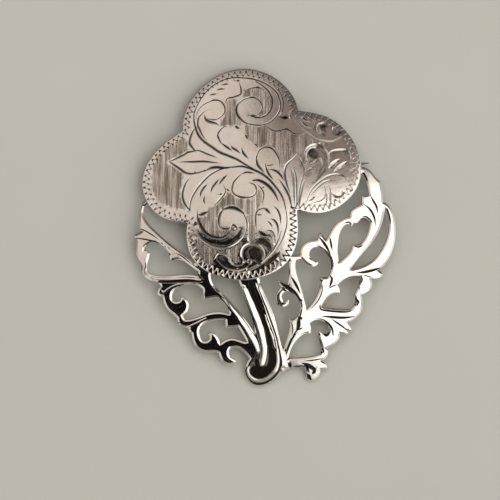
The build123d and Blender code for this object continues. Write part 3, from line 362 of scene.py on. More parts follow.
# The raised lines of the stalk and the left branches: how wide each slopes to its left in mm, and its points, each
# with how wide it slopes to its right there.
RIDGES = [
    (0.2, [(-1.3, -44.4, 0.3), (-1.25, -43.5, 0.45), (-0.9, -42.0, 0.6), (-0.4, -40.0, 0.58), (-0.35, -38.0, 0.6), (-0.8, -36.0, 0.66), (-1.5, -34.0, 0.8), (-2.2, -32.0, 0.9), (-2.9, -30.0, 0.8), (-4.0, -28.0, 0.9), (-5.0, -26.0, 0.88), (-6.1, -24.0, 0.96), (-7.1, -22.0, 0.86), (-8.0, -20.0, 0.84), (-8.7, -17.7, 0.3)]),
    (0.3, [(-5.2, -42.9, 0.25), (-6.0, -43.9, 0.28), (-6.35, -45.2, 0.3), (-5.8, -46.5, 0.3), (-4.6, -47.6, 0.3), (-3.0, -48.2, 0.3), (-1.0, -48.2, 0.3), (1.2, -47.4, 0.3), (3.0, -46.1, 0.3), (4.3, -44.9, 0.3), (4.9, -43.4, 0.28), (5.1, -41.8, 0.26), (4.95, -40.0, 0.24), (4.7, -38.0, 0.22), (4.3, -36.0, 0.2), (3.75, -34.0, 0.2), (2.9, -32.0, 0.2), (1.95, -30.0, 0.2), (1.1, -28.0, 0.2), (0.35, -26.0, 0.18), (-0.4, -24.0, 0.18), (-1.25, -22.0, 0.18), (-2.3, -20.0, 0.18), (-3.3, -18.0, 0.18), (-3.7, -17.2, 0.18)]),
    (0.12, [(4.1, -38.0, 0.12), (3.6, -36.0, 0.14), (2.9, -34.0, 0.16), (1.85, -32.0, 0.16), (1.15, -30.0, 0.16), (0.55, -28.2, 0.15), (0.2, -27.0, 0.12)]),
    (0.2, [(6.6, -44.6, 0.8), (6.8, -43.2, 1.0), (6.75, -41.8, 1.0), (6.3, -40.0, 0.8), (5.8, -38.0, 0.65), (5.3, -36.0, 0.7), (4.7, -34.0, 0.75), (3.9, -32.0, 0.75), (3.1, -30.0, 0.72), (2.2, -28.0, 0.72), (1.4, -26.0, 0.6), (0.4, -24.0, 0.55), (-0.75, -22.0, 0.55), (-1.7, -20.0, 0.58), (-2.0, -18.4, 0.5), (-2.15, -17.2, 0.4)]),
    (0.2, [(-2.6, -39.4, 0.3), (-3.0, -38.0, 0.5), (-4.2, -36.0, 0.7), (-5.7, -34.0, 0.76), (-7.1, -32.0, 0.76), (-8.8, -30.0, 0.76), (-10.2, -28.0, 0.76), (-12.0, -26.0, 0.76), (-13.5, -24.0, 0.66), (-15.1, -22.0, 0.6), (-16.1, -21.0, 0.5), (-17.2, -20.0, 0.3), (-19.5, -18.8, 0.25)]),
    (0.14, [(-38.6, -20.6, 0.14), (-36.4, -19.2, 0.14), (-33.0, -17.9, 0.14), (-30.0, -17.4, 0.14), (-27.0, -17.4, 0.12)]),
    (0.15, [(-23.8, -16.6, 0.2), (-26.0, -16.45, 0.3), (-30.0, -16.35, 0.33), (-34.0, -16.3, 0.33), (-38.0, -16.3, 0.33), (-41.0, -16.2, 0.33), (-44.0, -15.5, 0.25)]),
    (0.14, [(-29.8, -31.6, 0.14), (-27.0, -30.5, 0.14), (-24.4, -29.4, 0.14), (-22.0, -28.4, 0.12)]),
]

# The border cut round the lobes: the mean run of one whole zigzag, the width of its cuts, and per lobe (the
# direction from the plate's middle where the lobe starts, in degrees) its inner and outer distance from the edge.
ZIGZAG_RUN = 1.04
ZIGZAG_WIDTH = 0.36
# How dark the painted shade along the border is, standing in for the rolled edge mirroring dark, for directions from
# the lobes' middle in degrees.
BORDER_SHADE = [(-5, 0.0), (7, 0.2), (18, 0.5), (40, 0.58), (54, 0.66), (66, 0.64), (73, 0.56), (96, 0.4), (130, 0.27), (160, 0.1), (180, 0.0)]
ZIGZAG_BANDS = [(-180.0, 0.35, 1.4), (-35.0, 0.6, 1.5), (8.0, 0.3, 1.2), (70.0, 0.5, 1.3), (142.0, 0.5, 1.2)]

# How the edges and cuts are shaped, in mm.
CUT_DEPTH = 0.42
EDGE_WIDTH = 0.3
LOBE_EDGE_DEPTH = 0.12
BEVEL_WIDTH = 0.42
BEVEL_DEPTH = 0.155
CORNER_WIDTH = 0.09
CORNER_DEPTH = 0.05
RIDGE_SLOPE = 0.36
HATCH_PITCH = 0.4


def on_dome(points, radius):
    """The height of the dome of a given radius over each point, in mm."""
    away = ((points - DOME_CENTRE[:2]) ** 2).sum(1)
    return DOME_CENTRE[2] + np.sqrt(radius**2 - away)


def curve(shares, step, closed=False):
    """A smooth line through a table's points, in mm, with points about one step apart."""
    points = np.array(shares, float) * SHARE
    if closed:
        points = np.vstack([points[-1], points, points[0], points[1]])
    else:
        points = np.vstack([2 * points[0] - points[1], points, 2 * points[-1] - points[-2]])
    out = []
    for before, start, end, after in zip(points, points[1:], points[2:], points[3:]):
        count = max(2, int(math.ceil(np.hypot(*(end - start)) / step)))
        for t in np.arange(count) / count:
            out.append(0.5 * (2 * start + (end - before) * t + (2 * before - 5 * start + 4 * end - after) * t**2
                              + (3 * start - before - 3 * end + after) * t**3))
    if not closed:
        out.append(points[-2])
    return np.array(out)


def sideways(line):
    """The unit vector to the left of an open line, at each of its points."""
    along = np.gradient(line, axis=0)
    along /= np.maximum(np.hypot(*along.T), 1e-9)[:, None]
    return np.stack([-along[:, 1], along[:, 0]], 1)


def make_cut(line, width, lean, start, end, depth=CUT_DEPTH, dirt=1.0, spread=1.6):
    """One cut along a line in mm: half widths that taper to both ends, and how deep and dark it is."""
    run = np.concatenate([[0], np.cumsum(np.hypot(*np.diff(line, axis=0).T))])
    share = run / run[-1]
    rise = np.minimum(1, start + (1 - start) * np.sin(np.minimum(share / 0.45, 1) * math.pi / 2))
    fall = np.minimum(1, end + (1 - end) * np.sin(np.minimum((1 - share) / 0.45, 1) * math.pi / 2))
    return {"line": line, "half": np.maximum(width / 2 * rise * fall, 0.02), "lean": lean, "depth": depth,
            "dirt": dirt, "spread": spread}


def lobe_cuts():
    """The lines cut into the lobes."""
    return [make_cut(curve(points, 0.2), width, lean, start, end) for width, lean, start, end, points in LOBE_CUTS]


def leaf_cuts():
    """The blackened cuts of the sawn leaves: shallow where they are wide, and in the black scrolls on the left."""
    cuts = []
    for width, start, end, points in LEAF_CUTS:
        in_black = points[0][0] < -10 and points[0][1] < -18
        depth = 0.012 if in_black or width > 0.9 else 0.2
        cuts.append(make_cut(curve(points, 0.2), width, 0.0, start, end, depth, 1.0, 4.0))
    return cuts


def rails(cut):
    """The lines that carry a cut in the mesh: its two edges and its deepest line, and where a black one is all black."""
    side = sideways(cut["line"]) * cut["half"][:, None]
    shares = (1, 0.72, cut["lean"], -0.72, -1) if cut["spread"] > 2 else (1, cut["lean"], -1)
    return [cut["line"] + side * share for share in shares]


def carve(points, cuts):
    """How deep the cuts are at each point in mm, and how dark they are there."""
    deep = np.zeros(len(points))
    dark = np.zeros(len(points))
    order = np.argsort(points[:, 0])
    sorted_x = points[order, 0]
    for cut in cuts:
        line, half = cut["line"], cut["half"]
        reach = half.max() + 0.01
        first, last = np.searchsorted(sorted_x, (line[:, 0].min() - reach, line[:, 0].max() + reach))
        near = order[first:last]
        y = points[near, 1]
        near = near[(y > line[:, 1].min() - reach) & (y < line[:, 1].max() + reach)]
        if not len(near):
            continue
        start, step = line[:-1], np.diff(line, axis=0)
        to = points[near][:, None] - start
        t = np.clip((to * step).sum(2) / np.maximum((step**2).sum(1), 1e-12), 0, 1)
        off = to - step * t[..., None]
        far = np.hypot(off[..., 0], off[..., 1])
        k = far.argmin(1)
        row = np.arange(len(near))
        here = t[row, k]
        width = half[k] * (1 - here) + half[k + 1] * here
        turn = step[k, 0] * off[row, k, 1] - step[k, 1] * off[row, k, 0]
        across = np.sign(turn) * far[row, k] / width
        lean = cut["lean"]
        slope = np.where(across > lean, (1 - across) / (1 - lean), (1 + across) / (1 + lean))
        level = np.clip(slope, 0, 1)
        depth = level * width * 2 * cut["depth"]
        deep[near] = np.maximum(deep[near], depth)
        dirt = cut["dirt"]
        if isinstance(dirt, np.ndarray):
            dirt = dirt[k] * (1 - here) + dirt[k + 1] * here
        stain_and_shade = np.clip(level * cut["spread"], 0, 1) * dirt * np.clip(width / 0.12, 0, 1)
        dark[near] = np.maximum(dark[near], stain_and_shade)
    return deep, dark


def stain_and_shade(points, rows):
    """How dark the painted shade in the carved hollows makes each point."""
    dark = np.zeros(len(points))
    for middle, radii, turn, amount in rows:
        off = points - np.array(middle) * SHARE
        c, s = math.cos(math.radians(turn)), math.sin(math.radians(turn))
        along = (off[:, 0] * c + off[:, 1] * s) / radii[0]
        across = (off[:, 1] * c - off[:, 0] * s) / radii[1]
        dark = np.maximum(dark, amount * np.clip(1.25 - 1.25 * (along**2 + across**2), 0, 1))
    return dark


def ridge_line(rows):
    """A raised line's points in mm, and how wide it slopes to its right at each."""
    line = curve([row[:2] for row in rows], 0.2)
    at = [np.hypot(*(line - np.array(row[:2]) * SHARE).T).argmin() for row in rows]
    return line, np.interp(np.arange(len(line)), at, [row[2] for row in rows])


def raise_ridges(points):
    """How high the raised lines stand at each point, in mm."""
    high = np.zeros(len(points))
    for left, rows in RIDGES:
        line, right = ridge_line(rows)
        start, step = line[:-1], np.diff(line, axis=0)
        reach = max(left, right.max())
        box = (points > line.min(0) - reach).all(1) & (points < line.max(0) + reach).all(1)
        near = np.flatnonzero(box)
        to = points[near][:, None] - start
        t = np.clip((to * step).sum(2) / (step**2).sum(1), 0, 1)
        off = to - step * t[..., None]
        far = np.hypot(off[..., 0], off[..., 1])
        k = far.argmin(1)
        row = np.arange(len(near))
        here = k + t[row, k]
        slope = np.interp(here, np.arange(len(line)), right)
        taper = np.clip(np.minimum(here, len(step) - here) / len(step) / 0.05, 0.2, 1)
        turn = step[k, 0] * off[row, k, 1] - step[k, 1] * off[row, k, 0]
        across = np.clip(far[row, k] / np.where(turn > 0, left, slope), 0, 1)
        high[near] = np.maximum(high[near], RIDGE_SLOPE * slope * taper * (1 - across))
    return high


def inside(points, loops):
    """Which points lie inside an odd number of closed loops."""
    odd = np.zeros(len(points), bool)
    for loop in loops:
        for (x0, y0), (x1, y1) in zip(loop, np.roll(loop, -1, axis=0)):
            if y0 == y1:
                continue
            spans = (points[:, 1] > min(y0, y1)) & (points[:, 1] <= max(y0, y1))
            at = x0 + (points[spans, 1] - y0) / (y1 - y0) * (x1 - x0)
            odd[np.flatnonzero(spans)[points[spans, 0] < at]] ^= True
    return odd


def chained(pairs):
    """Closed loops of keys, from pairs that each join two of them."""
    beside = {}
    for a, b in pairs:
        beside.setdefault(a, []).append(b)
        beside.setdefault(b, []).append(a)
    loops = []
    left = set(beside)
    while left:
        start = min(left)
        loop = [start]
        left.discard(start)
        here = start
        while True:
            ahead = [k for k in beside[here] if k in left]
            if not ahead:
                break
            here = ahead[0]
            loop.append(here)
            left.discard(here)
        if len(loop) > 2:
            loops.append(loop)
    return loops


def cad_loops(radius):
    """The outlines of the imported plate's front where it lies at a radius of the dome, as loops in mm."""
    bm = bmesh.new()
    bm.from_mesh(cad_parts["plate"].data)
    bmesh.ops.remove_doubles(bm, verts=bm.verts, dist=2e-6)
    centre = Vector(DOME_CENTRE)
    away = {v.index: (v.co / MM - centre).length for v in bm.verts}
    bm.verts.ensure_lookup_table()
    pairs = []
    for edge in bm.edges:
        if len(edge.link_faces) != 2 or max(abs(away[v.index] - radius) for v in edge.verts) > 0.04:
            continue
        flat = [f.normal.dot((f.calc_center_median() / MM - centre).normalized()) > 0.9 for f in edge.link_faces]
        if flat[0] == flat[1]:
            continue
        wall = edge.link_faces[1] if flat[0] else edge.link_faces[0]
        if max(away[v.index] for v in wall.verts) > RIB_RADIUS - 0.03:
            continue
        pairs.append((edge.verts[0].index, edge.verts[1].index))
    loops = [np.array([bm.verts[i].co.xy / MM for i in loop]) for loop in chained(pairs)]
    bm.free()
    return [loop for loop in loops if np.hypot(*(loop - np.roll(loop, 1, axis=0)).T).sum() > 1.0]


def finer(loop, longest):
    """A closed loop with no side longer than a length."""
    out = []
    for start, end in zip(loop, np.roll(loop, -1, axis=0)):
        count = max(1, int(math.ceil(np.hypot(*(end - start)) / longest)))
        out += [start + (end - start) * k / count for k in range(count)]
    return np.array(out)


def turned_in(loops):
    """The same loops, each with the metal on its left."""
    out = []
    for loop in loops:
        area = (loop[:, 0] * np.roll(loop[:, 1], -1) - np.roll(loop[:, 0], -1) * loop[:, 1]).sum()
        middle = (loop[0] + loop[1]) / 2
        along = (loop[1] - loop[0]) / np.hypot(*(loop[1] - loop[0]))
        test = middle + np.array((-along[1], along[0])) * 0.01
        out.append(loop if inside(test[None], loops)[0] else loop[::-1])
    return out


def tree_of(loops, step):
    """A tree of points along closed loops, to measure how far a point is from them."""
    points = np.vstack([finer(loop, step) for loop in loops])
    tree = KDTree(len(points))
    for i, (x, y) in enumerate(points):
        tree.insert((x, y, 0), i)
    tree.balance()
    return tree


def distances(points, tree):
    """How far each point is from a tree's nearest point."""
    return np.array([tree.find((x, y, 0))[2] for x, y in points])


def rims(loops):
    """Points close together along loops that have their metal on the left, and the outward direction at each."""
    points, outward = [], []
    for loop in loops:
        fine = finer(loop, 0.08)
        ahead = np.roll(fine, -1, axis=0) - np.roll(fine, 1, axis=0)
        points.append(fine)
        outward.append(np.stack([ahead[:, 1], -ahead[:, 0]], 1) / np.maximum(np.hypot(*ahead.T), 1e-9)[:, None])
    return np.vstack(points), np.vstack(outward)


def inset(loop, depth):
    """A closed loop moved to its left by a depth."""
    ahead = np.roll(loop, -1, axis=0) - loop
    ahead /= np.hypot(*ahead.T)[:, None]
    along = ahead + np.roll(ahead, 1, axis=0)
    along /= np.maximum(np.hypot(*along.T), 1e-6)[:, None]
    return loop + np.stack([-along[:, 1], along[:, 0]], 1) * depth


class Plan:
    """The points and lines that a front's mesh is made from."""

    def __init__(self):
        self.points = []
        self.edges = []

    def line(self, points, closed=False, keep=None):
        """Adds a line, without the points that keep leaves out."""
        keep = np.ones(len(points), bool) if keep is None else keep
        number = {}
        for i, point in enumerate(points):
            if keep[i]:
                number[i] = len(self.points)
                self.points.append(point)
        count = len(points)
        for i in range(count if closed else count - 1):
            j = (i + 1) % count
            if i in number and j in number:
                self.edges.append((number[i], number[j]))

    def spot(self, points):
        """Adds single points."""
        self.points += list(points)


def grid(loops, step):
    """Points of a triangular grid inside closed loops."""
    every = np.vstack(loops)
    low, high = every.min(0), every.max(0)
    rows = np.arange(low[1], high[1], step * 0.866)
    points = np.array([(x + (k % 2) * step / 2, y) for k, y in enumerate(rows) for x in np.arange(low[0], high[0], step)])
    return points[inside(points, loops)]


def front(loops, cuts, extra, tree, gap, depths, lines=()):
    """The triangles of a front: its outline, its softened edge, its cuts and an even fill."""
    plan = Plan()
    for loop in loops:
        plan.line(loop, closed=True)
    for depth in depths:
        for loop in loops:
            ring = inset(loop, depth)
            plan.line(ring, closed=True, keep=distances(ring, tree) > depth * 0.85)
    for cut in cuts:
        for rail in rails(cut):
            plan.line(rail, keep=inside(rail, loops) & (distances(rail, tree) > 0.02))
    for ring in extra:
        plan.line(ring, closed=True, keep=inside(ring, loops))
    for line in lines:
        plan.line(line, keep=inside(line, loops) & (distances(line, tree) > 0.04))
    have = KDTree(len(plan.points))
    for i, (x, y) in enumerate(plan.points):
        have.insert((x, y, 0), i)
    have.balance()
    fill = grid(loops, gap)
    plan.spot(fill[distances(fill, have) > gap * 0.45])
    verts, _, faces, _, _, _ = delaunay_2d_cdt([Vector(p) for p in plan.points], plan.edges, [], 0, 1e-5)
    points = np.array([tuple(v) for v in verts])
    faces = np.array([f for f in faces if len(f) == 3])
    return points, faces[inside(points[faces].mean(1), loops)]


def piece(name, points, heights, faces, bottoms, dark, ground, crease, materials):
    """A mesh piece from a front and the walls that run down from its outline."""
    count = {}
    for a, b, c in faces:
        for pair in ((a, b), (b, c), (c, a)):
            count[pair] = count.get(pair, 0) + 1
    rim = [pair for pair in count if (pair[1], pair[0]) not in count]
    used = np.unique(faces)
    number = {old: new for new, old in enumerate(used)}
    verts = [(points[i][0] * MM, points[i][1] * MM, heights[i] * MM) for i in used]
    quads = []
    low = {}
    for a, b in rim:
        for i in (a, b):
            if i not in low:
                low[i] = len(verts)
                verts.append((points[i][0] * MM, points[i][1] * MM, min(bottoms[i], heights[i]) * MM))
        quads.append((number[b], number[a], low[a], low[b]))
    mesh = bpy.data.meshes.new(name)
    mesh.from_pydata(verts, [], [tuple(number[i] for i in f) for f in faces] + quads)
    mesh.validate()
    mesh.update()
    for label, values in (("dark", dark), ("ground", ground)):
        layer = mesh.attributes.new(label, "FLOAT", "POINT")
        full = np.zeros(len(verts), np.float32)
        full[: len(used)] = values[used]
        layer.data.foreach_set("value", full)
    for material in materials:
        mesh.materials.append(material)
    slots = np.zeros(len(mesh.polygons), np.int32)
    slots[len(faces):] = 1
    if len(mesh.polygons) == len(faces) + len(quads):
        mesh.polygons.foreach_set("material_index", slots)
    mesh.shade_smooth()
    mesh.set_sharp_from_angle(angle=math.radians(crease))
    thing = bpy.data.objects.new(name, mesh)
    bpy.context.scene.collection.objects.link(thing)
    return thing


def lean_map(points):
    """The direction of each point from the lobes' middle, in degrees from -180 to 180."""
    return np.degrees(np.arctan2(points[:, 1] - 9.0, points[:, 0] + 3.0))


def band_at(angles):
    """The border's inner and outer distance from the edge for directions in degrees."""
    rows = ZIGZAG_BANDS + [(180.0,) + ZIGZAG_BANDS[0][1:]]
    pick = np.clip(np.searchsorted([row[0] for row in rows], angles, "right") - 1, 0, len(ZIGZAG_BANDS) - 1)
    table = np.array([row[1:] for row in ZIGZAG_BANDS])[pick]
    return table[:, 0], table[:, 1]


def border_cuts(outline, tree):
    """The zigzag border: one stroke for each half of a zigzag, thick at its ends."""
    loop = finer(outline, 0.15)
    low, high = band_at(lean_map(loop))
    middle = (low + high) / 2
    ahead = np.roll(loop, -1, axis=0) - np.roll(loop, 1, axis=0)
    normal = np.stack([-ahead[:, 1], ahead[:, 0]], 1) / np.maximum(np.hypot(*ahead.T), 1e-6)[:, None]
    path = loop + normal * middle[:, None]
    path = path[distances(path, tree) > middle * 0.9]
    step = np.hypot(*(np.roll(path, -1, axis=0) - path).T)
    run = np.concatenate([[0], np.cumsum(step)])
    ring = np.vstack([path, path[:1]])
    count = 2 * int(round(run[-1] / ZIGZAG_RUN))
    at = np.arange(count) * run[-1] / count
    places = np.stack([np.interp(at, run, ring[:, k]) for k in (0, 1)], 1)
    ahead = np.roll(places, -1, axis=0) - np.roll(places, 1, axis=0)
    normal = np.stack([-ahead[:, 1], ahead[:, 0]], 1) / np.hypot(*ahead.T)[:, None]
    low, high = band_at(lean_map(places))
    half = (high - low) / 2 * np.where(np.arange(count) % 2, 1, -1)
    ends = places + normal * half[:, None]
    rng = random.Random(11)
    ends += np.array([(rng.uniform(-0.05, 0.05), rng.uniform(-0.05, 0.05)) for _ in range(count)])
    cuts = []
    for start, end in zip(ends, np.roll(ends, -1, axis=0)):
        if np.hypot(*(end - start)) > 1.9:
            continue
        share = np.linspace(0, 1, 6)[:, None]
        cut = make_cut(start + (end - start) * share, ZIGZAG_WIDTH, 0.0, 1.0, 1.0)
        turn = np.abs(np.cos(math.pi * share[:, 0])) ** 1.5
        low = start[1] < -1.5 and start[0] < 2.6
        bright = start[0] > 2.6 and start[1] < 4.0
        thin = 0.6 if bright else 0.45 if low else 0.28
        cut["half"] = ZIGZAG_WIDTH / 2 * (thin + (1 - thin) * turn) * rng.uniform(0.85, 1.12)
        cut["dirt"] = np.full(6, 1.3) if bright else 0.15 * turn if low else 0.08 + 0.92 * turn
        cuts.append(cut)
    return cuts


def hatch_cuts(grounds):
    """The shallow upright strokes of the hatched grounds."""
    rng = random.Random(5)
    cuts = []
    for ground in grounds:
        low, high = ground.min(0), ground.max(0)
        x = low[0] + 0.2
        while x < high[0]:
            column = np.stack([np.full(400, x), np.linspace(low[1], high[1], 400)], 1)
            odd = inside(column, [ground])
            edges = np.flatnonzero(np.diff(odd.astype(int)))
            for first, last in zip(edges[::2], edges[1::2]):
                bottom, top = column[first, 1] + 0.1, column[last, 1] - 0.1
                while top - bottom > 0.6:
                    length = min(top - bottom, rng.uniform(1.2, 5.0))
                    count = max(3, int(length / 0.5))
                    line = np.stack([np.full(count, x), np.linspace(bottom, bottom + length, count)], 1)
                    line[:, 0] += np.linspace(rng.uniform(-0.06, 0.06), rng.uniform(-0.06, 0.06), count)
                    width = rng.uniform(0.12, 0.26)
                    cuts.append(make_cut(line, width, 0.0, 0.3, 0.3, rng.uniform(0.06, 0.16), rng.uniform(0.05, 0.4)))
                    bottom += length + rng.uniform(0.1, 0.5)
            x += HATCH_PITCH * rng.uniform(0.8, 1.25)
    return cuts


def build_lobes(materials):
    """The four-lobed plate's engraved front."""
    loops = turned_in([finer(loop, 0.25) for loop in cad_loops(LOBE_RADIUS)])
    tree = tree_of(loops, 0.08)
    grounds = [curve(points, 0.4, closed=True) for points in GROUNDS]
    cuts = border_cuts(loops[0], tree) + lobe_cuts()
    for cut in cuts:
        shade = np.clip((cut["line"][:, 0] - 4.0) / 4.0, 0, 1)
        low = np.clip((1.0 - cut["line"][:, 1]) / 3.0, 0, 1) * (cut["half"].max() < 0.32)
        low = low * np.clip((3.6 - cut["line"][:, 0]) / 1.5, 0, 1)
        cut["dirt"] = cut["dirt"] * (1 - 0.7 * np.maximum(shade, low))
    cuts += [make_cut(curve(shares, 0.2), width, 0.0, start, end, 0.012, amount, 4.0)
             for width, start, end, amount, shares in LOBE_BLACKS]
    hatch = hatch_cuts(grounds)
    points, faces = front(loops, cuts + hatch, grounds, tree, 0.5, (0.07, 0.16, EDGE_WIDTH))
    deep, dark = carve(points, cuts + hatch)
    # Painted shade in the carved hollows, on top of the tarnish in the cuts.
    dark = np.maximum(dark, stain_and_shade(points, HOLLOW_SHADES))
    away = distances(points, tree)
    edge = np.clip(1 - away / EDGE_WIDTH, 0, 1)
    # Painted shade: a thin dark line along every edge of the lobes.
    dark = np.maximum(dark, 0.5 * np.clip(1.2 - away / 0.09, 0, 1))
    # Painted shade along the border, darkest to the upper right, standing in for the rolled edge mirroring dark.
    film_and_rim_shade = np.interp(lean_map(points), *zip(*BORDER_SHADE)) * np.clip(1.7 - away, 0, 1)
    dark = np.maximum(dark, film_and_rim_shade)
    heights = on_dome(points, LOBE_RADIUS) - LOBE_EDGE_DEPTH * edge**2 - deep
    ground = inside(points, grounds).astype(float)
    bottoms = np.maximum(0, on_dome(points, BACK_RADIUS) - 0.02)
    return piece("lobes_front", points, heights, faces, bottoms, dark, ground, 24, materials)


def build_leaves(materials):
    """The sawn leaves' and the stalk's front."""
    loops = turned_in([finer(loop, 0.25) for loop in cad_loops(LEAF_RADIUS) if len(loop) > 20])
    step = tree_of(cad_loops(LOBE_RADIUS), 0.05)
    tree = tree_of(loops, 0.08)
    rim, outward = rims(loops)
    open_edge = distances(rim, step) > 0.06
    rim, outward = rim[open_edge], outward[open_edge]
    free = KDTree(len(rim))
    for i, (x, y) in enumerate(rim):
        free.insert((x, y, 0), i)
    free.balance()
    cuts = leaf_cuts()
    slopes = []
    for left, rows in RIDGES:
        line, right = ridge_line(rows)
        side = sideways(line)
        slopes += [line + side * left, line, line - side * right[:, None] * 0.5, line - side * right[:, None]]
    points, faces = front(loops, cuts, [], tree, 0.4, (CORNER_WIDTH, 0.25, BEVEL_WIDTH), slopes)
    deep, dark = carve(points, cuts)
    found = [free.find((x, y, 0)) for x, y in points]
    away = np.array([hit[2] for hit in found])
    # Painted shadow: a dark line along the leaves' open edges that face up and to the left.
    facing = outward[[hit[1] for hit in found]] @ np.array((-0.6, 0.8))
    drop = BEVEL_DEPTH * np.clip(1 - away / BEVEL_WIDTH, 0, 1) + CORNER_DEPTH * np.clip(1 - away / CORNER_WIDTH, 0, 1) ** 2
    dark = np.maximum(dark, 0.8 * np.clip(0.15 + facing, 0, 1) * np.clip(1.2 - away / 0.11, 0, 1))
    heights = on_dome(points, LEAF_RADIUS) - drop - deep + raise_ridges(points)
    bottoms = np.maximum(0, on_dome(points, BACK_RADIUS) - 0.02)
    return piece("leaves_front", points, heights, faces, bottoms, dark, np.zeros(len(points)), 15, materials)


def build_back(material):
    """The plate's plain back with the hinge and the catch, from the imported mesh."""
    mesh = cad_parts["plate"].data.copy()
    mesh.name = "plate_back"
    bm = bmesh.new()
    bm.from_mesh(mesh)
    centre = Vector(DOME_CENTRE)
    far = [f for f in bm.faces if max((v.co / MM - centre).length for v in f.verts) > BACK_RADIUS + 0.03]
    bmesh.ops.delete(bm, geom=far, context="FACES")
    bmesh.ops.remove_doubles(bm, verts=bm.verts, dist=1e-6)
    bm.to_mesh(mesh)
    bm.free()
    mesh.materials.clear()
    mesh.materials.append(material)
    mesh.shade_smooth()
    mesh.set_sharp_from_angle(angle=math.radians(30))
    thing = bpy.data.objects.new("plate_back", mesh)
    bpy.context.scene.collection.objects.link(thing)
    return thing


class Shader:
    """A material's nodes, with short ways to add and join them."""

    def __init__(self, name):
        self.material = bpy.data.materials.new(name)
        self.material.use_nodes = True
        self.tree = self.material.node_tree
        self.surface = self.tree.nodes["Principled BSDF"]

    def add(self, kind, inputs=None, **settings):
        """A node of a kind, with its settings and its inputs, each a value or another node's output."""
        node = self.tree.nodes.new("ShaderNode" + kind)
        for key, value in settings.items():
            setattr(node, key, value)
        for key, value in (inputs or {}).items():
            self.put(node.inputs[key], value)
        return node

    def put(self, socket, value):
        """Joins an output to a socket, or sets its value."""
        if isinstance(value, bpy.types.NodeSocket):
            self.tree.links.new(value, socket)
        else:
            socket.default_value = value

    def place(self, stretch=(1, 1, 1)):
        """The surface's own place in mm, stretched."""
        coords = self.add("TexCoord").outputs["Object"]
        scale = tuple(1000.0 * s for s in stretch)
        return self.add("VectorMath", {0: coords, 1: scale}, operation="MULTIPLY").outputs[0]

    def noise(self, stretch, scale, detail=3.0, rough=0.55):
        """A noise's value."""
        node = self.add("TexNoise", {"Vector": self.place(stretch), "Scale": scale, "Detail": detail, "Roughness": rough})
        return node.outputs["Fac"]

    def span(self, value, low, high, to_low, to_high):
        """A value's range, mapped and clamped."""
        node = self.add("MapRange", {0: value, 1: low, 2: high, 3: to_low, 4: to_high})
        return node.outputs[0]

    def maths(self, kind, a, b):
        """A sum, product and so on of two values."""
        return self.add("Math", {0: a, 1: b}, operation=kind).outputs[0]

    def blend(self, share, a, b):
        """Two colours mixed by a share."""
        node = self.add("Mix", {0: share, 6: a, 7: b}, data_type="RGBA")
        return node.outputs[2]


def engraved_silver(name, clean, film_and_rim_shade, tarnish_and_shade_colour, smooth, fullest):
    """Polished silver with dark tarnish in its cuts, painted shade in the same dark colour along its edges and in its
    hollows, fine wear and upright brushing on the hatched grounds.
    """
    s = Shader(name)
    dark = s.add("Attribute", attribute_name="dark").outputs["Fac"]
    ground = s.add("Attribute", attribute_name="ground").outputs["Fac"]
    patch = s.noise((1, 1, 1), 0.9, 4.0)
    # The dark attribute holds the tarnish in the cuts and painted shade along edges and in hollows; both blend to one
    # dark colour.
    shade_and_tarnish_share = s.maths("MULTIPLY", dark, s.span(patch, 0.25, 0.75, fullest - 0.3, fullest))
    film_share = s.span(s.noise((1, 1, 1), 0.25, 5.0), 0.4, 0.7, 0.0, 0.5)
    polished = s.blend(film_share, clean, film_and_rim_shade)
    streak = s.noise((1.7, 0.1, 1), 1.0, 4.0, 0.62)
    ground_tone = s.maths("MULTIPLY", ground, s.span(streak, 0.36, 0.62, 0.1, 0.95))
    brushed = s.blend(ground_tone, polished, (0.25, 0.2, 0.165, 1))
    s.put(s.surface.inputs["Base Color"], s.blend(s.add("Clamp", {0: shade_and_tarnish_share}).outputs[0], brushed, tarnish_and_shade_colour))
    s.surface.inputs["Metallic"].default_value = 1.0
    wear = s.span(s.noise((1, 1, 1), 3.0, 6.0), 0.35, 0.7, smooth, smooth + 0.1)
    worn = s.maths("ADD", wear, s.maths("MULTIPLY", ground, s.span(streak, 0.3, 0.7, 0.1, 0.26)))
    s.put(s.surface.inputs["Roughness"], s.maths("ADD", worn, s.maths("MULTIPLY", dark, 0.25)))
    scratch = s.noise((3, 2, 1), 3.0, 3.0, 0.5)
    fine = s.maths("MULTIPLY", s.maths("SUBTRACT", scratch, 0.5), 0.0003)
    upright = s.maths("MULTIPLY", s.maths("MULTIPLY", ground, s.maths("SUBTRACT", streak, 0.5)), 0.05)
    dents = s.maths("MULTIPLY", s.maths("SUBTRACT", s.noise((1, 1, 1), 0.9, 1.0), 0.5), 0.009)
    height = s.maths("ADD", s.maths("ADD", fine, upright), dents)
    bump = s.add("Bump", {"Height": height, "Distance": MM, "Strength": 1.0})
    s.put(s.surface.inputs["Normal"], bump.outputs[0])
    return s.material


def sawn_silver(name):
    """The sawn edges: filed silver with fine upright marks and a darker film."""
    s = Shader(name)
    patch = s.noise((1, 1, 1), 1.2, 4.0)
    s.put(s.surface.inputs["Base Color"], s.blend(patch, (0.16, 0.14, 0.125, 1), (0.62, 0.58, 0.54, 1)))
    s.surface.inputs["Metallic"].default_value = 1.0
    file_marks = s.noise((1, 1, 7), 2.5, 4.0, 0.6)
    s.put(s.surface.inputs["Roughness"], s.span(file_marks, 0.3, 0.7, 0.2, 0.42))
    bump = s.add("Bump", {"Height": file_marks, "Distance": 0.02 * MM, "Strength": 1.0})
    s.put(s.surface.inputs["Normal"], bump.outputs[0])
    return s.material


